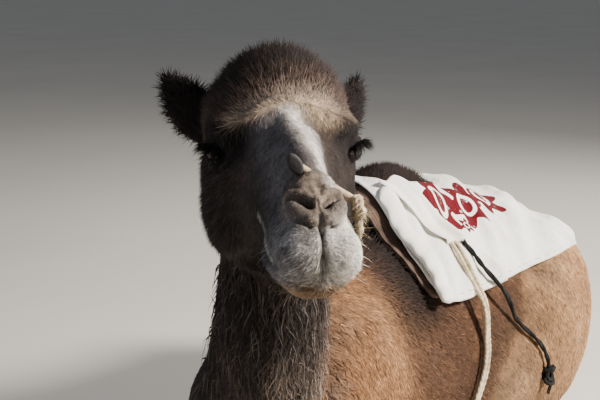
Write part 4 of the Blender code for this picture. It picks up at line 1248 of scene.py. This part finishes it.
def frame_of(line):
    """At each point of the line: its way, and two directions square to it and to each other."""
    line = np.asarray(line, float)
    ways = unit(np.gradient(line, axis=0))
    side = unit(np.cross(ways[0], (0.31, 0.17, 0.94)))
    sides = []
    for way in ways:
        side = side - way * (side @ way)
        side = side / np.linalg.norm(side)
        sides.append(side)
    sides = np.array(sides)
    return ways, sides, np.cross(ways, sides)


def closed_tube(name, rings, material):
    """A closed skin over rings of points, capped at both ends."""
    shape = bmesh.new()
    verts = [[shape.verts.new(point) for point in ring] for ring in rings]
    for before, after in zip(verts, verts[1:]):
        for k in range(len(before)):
            n = (k + 1) % len(before)
            shape.faces.new((before[k], before[n], after[n], after[k]))
    shape.faces.new(verts[0][::-1])
    shape.faces.new(verts[-1])
    bmesh.ops.recalc_face_normals(shape, faces=shape.faces[:])
    made = linked(name, shape, material)
    made.data.shade_smooth()
    return made


def lofted(name, line, radii, material, around, plies=0, turns=0.0, depth=0.0):
    """A closed tube along the line. Plies and turns lay it up as a twisted rope, to that depth."""
    line = np.asarray(line, float)
    _, sides, ups = frame_of(line)
    radii = np.broadcast_to(np.asarray(radii, float), len(line))
    angle = np.arange(around) * 2 * math.pi / around
    share = np.linspace(0, 1, len(line))[:, None]
    lobes = 1.0
    if plies:
        laid = angle[None] - 2 * math.pi * turns * share
        lobes = 1 - depth + depth * np.abs(np.cos(plies / 2 * laid))
    reach = radii[:, None] * lobes * np.ones((len(line), around))
    points = line[:, None] + reach[..., None] * (
        np.cos(angle)[None, :, None] * sides[:, None] + np.sin(angle)[None, :, None] * ups[:, None]
    )
    return closed_tube(name, points, material)


def spline(points, count):
    """That many places along a smooth line through the points."""
    points = np.asarray(points, float)
    ends = np.vstack([2 * points[0] - points[1], points, 2 * points[-1] - points[-2]])
    steps = np.linspace(0, len(points) - 1 - 1e-9, count)
    first = steps.astype(int)
    t = (steps - first)[:, None]
    p0, p1, p2, p3 = (ends[first + n] for n in range(4))
    return 0.5 * (
        2 * p1 + (p2 - p0) * t + (2 * p0 - 5 * p1 + 4 * p2 - p3) * t ** 2
        + (3 * p1 - p0 - 3 * p2 + p3) * t ** 3
    )


wood_material = wood_finish()
peg_line = spline([PEG_RIGHT, *PEG_BENDS, PEG_LEFT], PEG_RINGS)
peg_radii = 0.0050 + 0.0024 * eased_step(np.linspace(0, 1, PEG_RINGS), 0.86, 1.0)
peg_radii[-1] *= 0.55
peg = lofted("nose_peg_shaft", from_head(peg_line), peg_radii, wood_material, around=16)
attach(peg, "root")
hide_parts("nose_peg")

knob = bmesh.new()
bmesh.ops.create_uvsphere(knob, u_segments=40, v_segments=24, radius=1.0)
for vert in knob.verts:
    hollow = 0.32 * math.exp(-((vert.co.x - 1) ** 2) / 0.10) if vert.co.x > 0 else 0.0
    vert.co = Vector((vert.co.x * (1 - hollow), vert.co.y, vert.co.z)) * Vector(KNOB_HALF_SIZE)
    vert.co.rotate(Matrix.Rotation(KNOB_TILT, 3, "X"))
    vert.co = Vector(from_head(np.array(KNOB_AT) + np.array(vert.co)))
knob_material = Finish("worn_knob", Roughness=0.8).done(colour=(0.014, 0.012, 0.012, 1.0))
peg_knob = linked("nose_peg_knob", knob, knob_material)
peg_knob.data.shade_smooth()
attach(peg_knob, "root")


# ---------------------------------------------------------------- the tie on the peg
# Two turns of three-ply cream cotton rope knotted tight round the peg's left end. A short end
# hangs from the knot, and its fibres have frayed out all along.

TIE_AT = np.array((0.226, 0.058, -0.030))
TIE_RADIUS = 0.0052
TIE_TURNS = 2
TIE_END = [(0.004, 0.000, -0.008), (0.003, 0.002, -0.020), (0.000, 0.000, -0.030)]
FRAY_COUNT = 900
FRAY_CREAM = shades(190, 168, 125)


def rope_finish(name, dark, light):
    finish = Finish(name, Roughness=0.92)
    grime = finish.noise(38, 4)
    fibre = finish.noise(900, 2)
    tint = finish.ramp(grime, (0.30, dark), (0.62, light))
    return finish.done(colour=tint, normal=finish.bump(fibre, 0.0006, 0.7))


rope_material = rope_finish("cotton_rope", (0.28, 0.21, 0.12), (0.62, 0.52, 0.36))
fray_material = Finish("rope_fray", Roughness=0.9).done(colour=(0.56, 0.46, 0.30, 1.0))
tie_line = [
    TIE_AT + (0.0085 * math.cos(a), 0.007 * (a / 12.6 - 0.5), 0.0105 * math.sin(a) + 0.006)
    for a in np.linspace(0, TIE_TURNS * 2 * math.pi, 18)
]
tie_line += [TIE_AT + place for place in TIE_END]
tie = lofted("peg_tie_rope", from_head(spline(tie_line, 150)), TIE_RADIUS, rope_material,
             around=18, plies=3, turns=9, depth=0.50)
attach(tie, "root")
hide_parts("peg_tie")

fray_share = random.uniform(0, 1, FRAY_COUNT)
fray_roots = np.array(spline(tie_line, 400))[(60 + fray_share * 339).astype(int)]
fray_ways = random.normal(0, 0.6, (FRAY_COUNT, 3)) + np.array((0, 0, -0.9)) * fray_share[:, None] ** 2
fray_rises = unit(random.normal(0, 1, (FRAY_COUNT, 3)))
fray = hairs("peg_tie_fray", from_head(fray_roots), fray_ways @ HEAD_AXES, fray_rises,
             0.007 + 0.017 * fray_share ** 3, 0.0008, FRAY_CREAM, fray_material)


# ---------------------------------------------------------------- saddle quilt and cloth
# A brown padded quilt with a scalloped edge lies on the back under a white cotton cloth that is
# printed in red. Both have an opening for the hump, and hang down the flanks by their weight.

BACK_GRID = (0.22, 1.26, 209, -74.0, 74.0, 149)  # first, last and count: places, then angles
METRES_PER_DEGREE = 0.0068  # about the cloth's reach round the back
QUILT_STEPS, QUILT_RINGS = 360, 34
QUILT_THICK, CLOTH_THICK = 0.010, 0.0016
CLOTH_STEPS, CLOTH_RINGS = 400, 54
CLOTH_DIP = -0.0065
HEM_STEP = 0.0102  # metres of hem between two spokes of the cloth


def way_round(angle):
    turn = np.radians(angle)
    return np.stack([np.sin(turn), np.zeros_like(turn), np.cos(turn)], axis=-1)


def round_the_body(tree, behind, angle, height):
    """Places on the body's outside, by how far behind the origin and the angle from the spine."""
    found = []
    for place, way in zip(behind, way_round(angle)):
        start = Vector((AXIS_ACROSS, place, AXIS_HEIGHT))
        met = tree.ray_cast(start + Vector(way) * 1.4, -Vector(way))[0]
        found.append(met + Vector(way) * height)
    return np.array(found)


def back_reaches():
    """How far the coat reaches from the axis of the back, over a grid of places and angles."""
    first, last, steps, low, high, turns = BACK_GRID
    reaches = np.zeros((steps, turns))
    angles = np.linspace(low, high, turns)
    for i, behind in enumerate(np.linspace(first, last, steps)):
        met = round_the_body(COAT_HULL, np.full(turns, behind), angles, 0.0)
        reaches[i] = np.linalg.norm(met - (AXIS_ACROSS, behind, AXIS_HEIGHT), axis=1)
    return reaches


def swollen(grid, across, along):
    """The highest value within so many cells each way, softened."""
    best = grid.copy()
    for shift in range(-across, across + 1):
        best = np.maximum(best, np.roll(grid, shift, 1))
    wide = best.copy()
    for shift in range(-along, along + 1):
        wide = np.maximum(wide, np.roll(best, shift, 0))
    for _ in range(10):
        inner = (wide[1:-1, 2:] + wide[1:-1, :-2] + wide[2:, 1:-1] + wide[:-2, 1:-1]) / 4
        wide[1:-1, 1:-1] += 0.6 * (inner - wide[1:-1, 1:-1])
    return wide


CLOTH_REACHES = swollen(back_reaches(), 2, 3)


def over_the_back(behind, angle, height):
    """Points that high over the coat, by how far behind the origin and the angle from the spine."""
    first, last, steps, low, high, turns = BACK_GRID
    i = np.clip((behind - first) / (last - first) * (steps - 1), 0, steps - 1.001)
    j = np.clip((angle - low) / (high - low) * (turns - 1), 0, turns - 1.001)
    i0, j0 = i.astype(int), j.astype(int)
    a, b = i - i0, j - j0
    grid = CLOTH_REACHES
    reach = (grid[i0, j0] * (1 - a) * (1 - b) + grid[i0 + 1, j0] * a * (1 - b)
             + grid[i0, j0 + 1] * (1 - a) * b + grid[i0 + 1, j0 + 1] * a * b)
    level = np.zeros_like(behind)
    start = np.stack([level + AXIS_ACROSS, behind, level + AXIS_HEIGHT], axis=-1)
    return start + way_round(angle) * (reach + height)[..., None]


def round_the_hump(front, rear, spread, half_angle, rings, steps, squareness, hole=1.0):
    """Rings of places from the hump's opening out to the hem, and each ring's share of the way."""
    turn = np.linspace(0, 2 * math.pi, steps, endpoint=False)
    along, across = np.cos(turn), np.sin(turn)
    reach = (np.abs(along) ** squareness + np.abs(across) ** squareness) ** (-1 / squareness)
    along_hem, across_hem = along * reach, across * reach
    back = rear + spread * np.abs(across_hem)
    hem_behind = (front + back) / 2 + along_hem * (back - front) / 2
    hem_angle = half_angle * across_hem
    hole_behind = OPENING[0] + hole * OPENING[1] * along
    hole_angle = hole * OPENING[2] * across
    share = np.linspace(0, 1, rings)[:, None]
    behind = hole_behind + (hem_behind - hole_behind) * share
    angle = hole_angle + (hem_angle - hole_angle) * share
    return behind, angle, share


def ring_sheet(name, points, material, thickness, rows):
    """A sheet through rings of points, mapped by its rows: across the first, along the second."""
    rings, steps = points.shape[:2]
    shape = bmesh.new()
    flat = shape.loops.layers.uv.new("cut")
    verts = [[shape.verts.new(point) for point in ring] for ring in points]
    for i in range(rings - 1):
        for k in range(steps):
            n = (k + 1) % steps
            face = shape.faces.new((verts[i][k], verts[i][n], verts[i + 1][n], verts[i + 1][k]))
            for loop, (row, step) in zip(face.loops, ((i, k), (i, n), (i + 1, n), (i + 1, k))):
                loop[flat].uv = rows[row, step]
    made = linked(name, shape, material)
    made.data.shade_smooth()
    first_face = made.data.polygons[0]
    outside = first_face.normal.dot(first_face.center - Vector((AXIS_ACROSS, 0.5, AXIS_HEIGHT)))
    thick = made.modifiers.new("thickness", "SOLIDIFY")
    thick.thickness = thickness
    thick.offset = -1.0 if outside > 0 else 1.0  # the thickness goes inward
    return made


def metres_from_hem(points):
    """Each point's distance from the hem along its own spoke of the sheet."""
    gaps = np.linalg.norm(np.diff(points, axis=0), axis=2)
    inward = np.cumsum(gaps[::-1], axis=0)[::-1]
    return np.vstack([inward, np.zeros((1, points.shape[1]))])


# Each flower of the print: how far behind the origin, its angle from the spine, and its half width.
PRINT_SPOTS = (
    (0.548, 20.5, 0.098), (0.700, 23.0, 0.092), (0.850, 18.5, 0.100), (0.628, 32.0, 0.030),
)
PRINT_RED = (0.088, 0.0, 0.004)
THREAD_BROWN = (0.36, 0.27, 0.20)
COTTON_GREY, COTTON_WHITE = (0.66, 0.63, 0.57), (0.80, 0.79, 0.77)


def cloth_finish():
    """White cotton with a stitched hem and big red flowers, each a ring of petals round a dot."""
    finish = Finish("white_cotton", Roughness=0.88)
    finish.surface.inputs["Specular IOR Level"].default_value = 0.2
    spot = finish.node("UVMap", {"uv_map": "cut"})
    along = finish.node("SeparateXYZ", inputs={"Vector": spot}, output="X")
    across = finish.node("SeparateXYZ", inputs={"Vector": spot}, output="Y")
    weave = finish.noise(1400, 2)
    # Grey patches over the white cotton: partly soil, partly painted shade standing in for its creases.
    soil_and_painted_shade = finish.noise(7, 4)
    tint = finish.ramp(soil_and_painted_shade, (0.30, COTTON_GREY), (0.60, COTTON_WHITE))
    hem = finish.node("UVMap", {"uv_map": "hem"})
    round_hem = finish.node("SeparateXYZ", inputs={"Vector": hem}, output="X")
    from_hem = finish.node("SeparateXYZ", inputs={"Vector": hem}, output="Y")
    stitch = ((from_hem - 0.020) ** 2).ranged(0.0, 0.0000045, 1.0, 0.0)
    gap = (round_hem * 130.0).wave().above(-0.35, 0.2)
    tint = finish.mixed(stitch * gap * 0.75, tint, THREAD_BROWN)
    red = None
    for behind, turn, size in PRINT_SPOTS:
        x = along - behind
        y = across - turn * METRES_PER_DEGREE
        radius = (x * x + y * y) ** 0.5
        petals = (y.angle_to(x) * 3.0).wave()
        shape = (petals * petals * (0.42 * size) + 0.58 * size - radius).above(0.0, 0.0016)
        ring = ((radius - 0.34 * size) ** 2).ranged(0.0, (0.10 * size) ** 2, 0.0, 1.0)
        flower = shape * ring.above(0.5, 0.12)
        red = flower if red is None else red + flower
    worn = finish.noise(55, 4).ranged(0.28, 0.40, 0.35, 1.0)
    tint = finish.mixed((red * worn).ranged(0.0, 1.0), tint, PRINT_RED)
    relief = finish.bump(finish.noise(30, 5), 0.012, 0.7)
    relief = finish.bump(weave, 0.0004, 0.5, over=relief)
    relief = finish.bump(stitch, 0.0015, -0.8, over=relief)
    return finish.done(colour=tint, normal=relief)


def quilt_finish():
    finish = Finish("brown_quilt", Roughness=0.95)
    pile = finish.noise(420, 3)
    tint = finish.ramp(finish.noise(16, 4), (0.3, (0.050, 0.030, 0.022)), (0.7, (0.115, 0.070, 0.050)))
    return finish.done(colour=tint, normal=finish.bump(pile, 0.002, 0.8))


quilt_behind, quilt_angle, quilt_share = round_the_hump(
    front=0.272, rear=1.010, spread=0.110, half_angle=60.0,
    rings=QUILT_RINGS, steps=QUILT_STEPS, squareness=8, hole=1.06,
)
scallop = np.abs(np.sin(np.arange(QUILT_STEPS) * math.pi / 6))
at_hem = (1 - scallop) * quilt_share ** 12
quilt_angle = quilt_angle * (1 - 0.012 * at_hem)
quilt_behind = quilt_behind + (OPENING[0] - quilt_behind) * 0.014 * at_hem
channels = np.abs(np.sin(quilt_share * 24)) ** 0.6
padding = 0.007 + 0.005 * channels * np.sqrt(np.clip(1.02 - quilt_share ** 20, 0, 1))
quilt_top = 0.001 + padding * eased_step(quilt_share, 0.08, 0.34)
quilt_points = over_the_back(quilt_behind, quilt_angle, quilt_top)
quilt_rows = np.stack([quilt_behind, quilt_angle * METRES_PER_DEGREE], axis=-1)
quilt = ring_sheet("padded_quilt", quilt_points, quilt_finish(), QUILT_THICK, quilt_rows)
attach(quilt, "root")
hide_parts("saddle_quilt")

cloth_behind, cloth_angle, cloth_share = round_the_hump(
    front=0.302, rear=1.045, spread=0.140, half_angle=63.0,
    rings=CLOTH_RINGS, steps=CLOTH_STEPS, squareness=9,
)
# Sharp folds of the cloth's rear: height, start behind the origin, slant, start down the side,
# width, and the stretch down the side over which the fold rises.
SHARP_FOLDS = (
    (0.0090, 0.60, 0.22, 0.28, 0.014, (0.24, 0.36)),
    (0.0130, 0.985, 0.33, 0.15, 0.011, (0.08, 0.14)),
)


def creased(behind, angle):
    """Soft creases of the cloth: long ones down the flank, small ones across, and sharp folds."""
    metres = angle * METRES_PER_DEGREE
    down = np.abs(metres)
    rise = 0.0075 * np.sin(behind * 21 + 2.2 * np.sin(metres * 9 + behind * 5))
    rise += 0.0048 * np.sin(behind * 55 + metres * 30 + 1.6 * np.sin(behind * 17))
    for height, start, slant, level, width, onset in SHARP_FOLDS:
        gap = behind - start - slant * (down - level)
        rise += height * np.exp(-((gap / width) ** 2)) * eased_step(down, *onset)
    return np.maximum(rise, CLOTH_DIP)


off_hump = eased_step(cloth_share, 0.0, 0.14)
cloth_top = 0.008 + off_hump * (0.0200 + creased(cloth_behind, cloth_angle)) - 0.004 * cloth_share ** 30
cloth_points = over_the_back(cloth_behind, cloth_angle, cloth_top)
cloth_rows = np.stack([cloth_behind, cloth_angle * METRES_PER_DEGREE], axis=-1)
cloth = ring_sheet("white_cloth", cloth_points, cloth_finish(), CLOTH_THICK, cloth_rows)
hem_map = cloth.data.uv_layers.new(name="hem")
round_hem = np.broadcast_to(np.arange(CLOTH_STEPS) * HEM_STEP, cloth_points.shape[:2])
hem_place = np.stack([round_hem, metres_from_hem(cloth_points)], axis=-1).reshape(-1, 2)
cloth_corners = read(cloth.data.loops, "vertex_index", 1, np.int64)[:, 0]
hem_map.uv.foreach_set("vector", hem_place[cloth_corners].astype(np.float32).ravel())
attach(cloth, "root")
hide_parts("saddle_cloth")


# ---------------------------------------------------------------- rolled edge and turned-back flap
# The cloth's front edge is rolled up thick on each side, and a spare flap of it is turned back
# over the cloth, where it lies under its own weight and ends above the girth.

ROLL_ROWS = 110
ROLL_AROUND = 32
ROLL_BEHIND, ROLL_HEIGHT = 0.322, 0.042
FLAP_HEIGHT = 0.047
FLAP_ROWS, FLAP_COLUMNS = 60, 30
FLAP_THICK = 0.003
PALE_COTTON = (0.82, 0.80, 0.76)


def side_roll(side, sign):
    """The roll down one side's front edge, flattened by its weight and gathered in places."""
    share = np.linspace(0, 1, ROLL_ROWS)[:, None]
    turn = np.linspace(0, 2 * math.pi, ROLL_AROUND, endpoint=False)[None]
    taper = np.sqrt(np.clip(np.minimum(share, 1 - share) * 26, 0.04, 1))
    gather = 1 + 0.07 * np.sin(share * 41) * np.cos(turn * 2) + 0.05 * np.sin(share * 19 + turn)
    half_width = (0.024 + 0.007 * np.sin(share * math.pi)) * taper * gather
    half_height = (0.013 + 0.004 * np.sin(share * math.pi)) * taper * gather
    behind = ROLL_BEHIND + 0.004 * np.sin(share * 13) + half_width * np.cos(turn)
    angle = sign * (12.0 + 48.5 * share) + 0 * turn
    points = over_the_back(behind, angle, ROLL_HEIGHT + half_height * np.sin(turn))
    roll = closed_tube(f"rolled_edge_{side}", points, cotton_plain)
    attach(roll, "root")
    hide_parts(f"saddle_fold_{side}")


def side_flap(side, sign):
    """The flap: it leaves the roll near the spine and runs back and down to a turned-under end."""
    share = np.linspace(0, 1, FLAP_ROWS)[:, None]
    across = np.linspace(0, 1, FLAP_COLUMNS)[None]
    front = ROLL_BEHIND + 0.132 * share ** 1.1
    rear = 0.365 + 0.165 * share ** 0.65
    behind = front + (rear - front) * across
    angle = sign * (10.5 + 27.0 * share + 2.0 * across)
    ridge = 0.016 * np.exp(-(((across - 0.80) / 0.12) ** 2)) * (0.5 + 0.5 * share)
    turned = -0.014 * eased_step(across, 0.91, 1.0) - 0.012 * eased_step(share, 0.96, 1.0)
    ripple = 0.003 * np.sin(across * 11 + share * 7)
    points = over_the_back(behind, angle, FLAP_HEIGHT + ridge + turned + ripple)
    shape = bmesh.new()
    verts = [[shape.verts.new(point) for point in row] for row in points]
    for i in range(FLAP_ROWS - 1):
        for k in range(FLAP_COLUMNS - 1):
            shape.faces.new((verts[i][k], verts[i][k + 1], verts[i + 1][k + 1], verts[i + 1][k]))
    flap = linked(f"turned_flap_{side}", shape, cotton_plain)
    flap.data.shade_smooth()
    thick = flap.modifiers.new("thickness", "SOLIDIFY")
    thick.thickness = FLAP_THICK
    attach(flap, "root")


def plain_cotton():
    finish = Finish("plain_cotton", Roughness=0.88)
    tint = finish.ramp(finish.noise(9, 4), (0.30, COTTON_GREY), (0.60, PALE_COTTON))
    relief = finish.bump(finish.noise(60, 4), 0.004, 0.4)
    relief = finish.bump(finish.noise(1400, 2), 0.0004, 0.5, over=relief)
    return finish.done(colour=tint, normal=relief)


cotton_plain = plain_cotton()
for side, sign in (("left", 1), ("right", -1)):
    side_roll(side, sign)
    side_flap(side, sign)


# ---------------------------------------------------------------- girth, side strap and knot
# The girth is two strands of cream cotton rope round the body behind the elbows, drawn tight. The
# side strap is a doubled black cord that leaves the flap and hangs to a bunch of knots.

# Each route's places are metres behind the origin and degrees from the spine.
GIRTH_ROUTE = (
    (0.480, 37), (0.475, 43), (0.472, 54), (0.489, 68), (0.509, 84),
    (0.500, 98), (0.468, 113), (0.438, 130), (0.425, 155), (0.425, 180),
)
GIRTH_RADIUS = 0.0068
STRAND_GAP = 0.0085  # from the girth's middle line to each strand
ON_TRUNK = part_tree(("trunk", "hump"))[0]
UNDERSIDE = (94, 104)  # between these angles the girth goes from the coat to the trunk under it
STRAP_ROUTE = (
    (0.527, 36), (0.535, 46), (0.56, 57), (0.672, 80), (0.785, 97), (0.835, 108), (0.855, 115),
)
STRAP_RADIUS = 0.0072
HEM_ZONE = (0.62, 0.74)  # heights between which a cord leaves the coat for the cloth
OVER_CLOTH = 0.031
KNOT_RADIUS = 0.0068
KNOT_END_RADIUS = 0.0046
# Loops of the knot: tilt, size and drop. Ends of the knot: lean and length.
KNOT_LOOPS = ((0.2, 0.017, 0.020), (1.1, 0.021, 0.004), (-0.7, 0.020, -0.014), (2.0, 0.016, -0.002))
KNOT_ENDS = ((-0.010, 0.046), (0.012, 0.038), (0.002, 0.052))


def cord_line(route, count, radius, lift, belly=0.0):
    """The middle of a cord that lies on the cloth, then on the coat, then under the belly."""
    behind, angle = spline(route, count).T
    on_cloth = over_the_back(behind, angle, OVER_CLOTH + radius + lift)
    on_coat = round_the_body(COAT_HULL, behind, angle, radius + lift)
    on_trunk = round_the_body(ON_TRUNK, behind, angle, radius + lift)
    on_belly = eased_step(np.minimum(angle, 360 - angle), *UNDERSIDE)[:, None] * belly
    on_coat += (on_trunk - on_coat) * on_belly
    share = eased_step(on_coat[:, 2], *HEM_ZONE)[:, None]
    line = on_coat + (on_cloth - on_coat) * share
    for _ in range(16):
        line[1:-1] += 0.5 * ((line[2:] + line[:-2]) / 2 - line[1:-1])
    return line


def laid_beside(line, radius, gap, sway):
    """The line moved to the side by the gap, swaying a little across and outward."""
    ways = unit(np.gradient(line, axis=0))
    outward = unit(line - np.array((AXIS_ACROSS, 0, AXIS_HEIGHT)) * (1, 0, 1) - line * (0, 1, 0))
    sideways = np.cross(ways, outward)
    reach = np.linspace(0, 1, len(line))[:, None]
    aside = sideways * (gap + sway * np.sin(reach * 23))
    return line + aside + outward * radius * 0.3 * np.sin(reach * 31)


far_half = [(behind, 360 - angle) for behind, angle in reversed(GIRTH_ROUTE[:-1])]
girth_round = [*GIRTH_ROUTE, *far_half]
girth_line = cord_line(girth_round, 420, 0.0065, 0.002, belly=1.0)
for strand, gap, sway in (("front", -STRAND_GAP, -0.0020), ("rear", STRAND_GAP, 0.0025)):
    path = laid_beside(girth_line, 0.006, gap, sway)
    rope = lofted(f"girth_strand_{strand}", path, GIRTH_RADIUS, rope_material,
                  around=14, plies=3, turns=105, depth=0.40)
    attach(rope, "root")
    if strand == "front":
        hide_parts("girth_rope")


def strap_finish():
    finish = Finish("black_cord", Roughness=0.85)
    finish.surface.inputs["Specular IOR Level"].default_value = 0.15
    dust = finish.noise(60, 4)
    tint = finish.ramp(dust, (0.35, (0.004, 0.004, 0.005)), (0.75, (0.020, 0.019, 0.018)))
    return finish.done(colour=tint, normal=finish.bump(finish.noise(700, 2), 0.0006, 0.7))


strap_material = strap_finish()
strap_line = cord_line(STRAP_ROUTE, 160, STRAP_RADIUS, 0.001)
strap = lofted("side_cord", strap_line, STRAP_RADIUS, strap_material,
               around=20, plies=2, turns=5, depth=0.42)
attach(strap, "root")
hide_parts("side_strap")


def knot_loop(n, middle, tilt, size, drop):
    """One loop of the knot: a nearly closed turn of the cord, tilted round the knot's middle."""
    turn = np.linspace(0, 2 * math.pi * 0.97, 40)
    side = size * np.sin(turn)
    ring = np.stack([side * math.cos(tilt), size * 1.05 * np.cos(turn), side * math.sin(tilt)], axis=1)
    line = middle + ring * (0.8, 1.0, 1.0) + (0.0, 0.004 * (n % 2) - 0.002, drop)
    return lofted(f"knot_loop_{n}", line, KNOT_RADIUS, strap_material,
                  around=14, plies=2, turns=3, depth=0.3)


def knot_end(n, middle, lean, length):
    """One loose end below the knot, thinner toward its tip."""
    share = np.linspace(0, 1, 14)[:, None]
    line = middle + (0.004, 0.0, -0.012) + share * (0.002, lean, -length)
    line = line + np.sin(share * 5) * (0.002, 0.003, 0)
    radii = KNOT_END_RADIUS * (1 - 0.6 * share[:, 0] ** 3)
    return lofted(f"knot_end_{n}", line, radii, strap_material,
                  around=12, plies=2, turns=2, depth=0.3)


knot_middle = strap_line[-1] + unit(strap_line[-1] - strap_line[-6]) * 0.014
knot_pieces = [knot_loop(n, knot_middle, *loop) for n, loop in enumerate(KNOT_LOOPS)]
knot_pieces += [knot_end(n, knot_middle, *end) for n, end in enumerate(KNOT_ENDS)]
bpy.ops.object.select_all(action="DESELECT")
for piece in knot_pieces:
    piece.select_set(True)
knot = knot_pieces[0]
bpy.context.view_layer.objects.active = knot
bpy.ops.object.join()
knot.name = "side_cord_knot"
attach(knot, "root")
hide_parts("side_strap_knot")
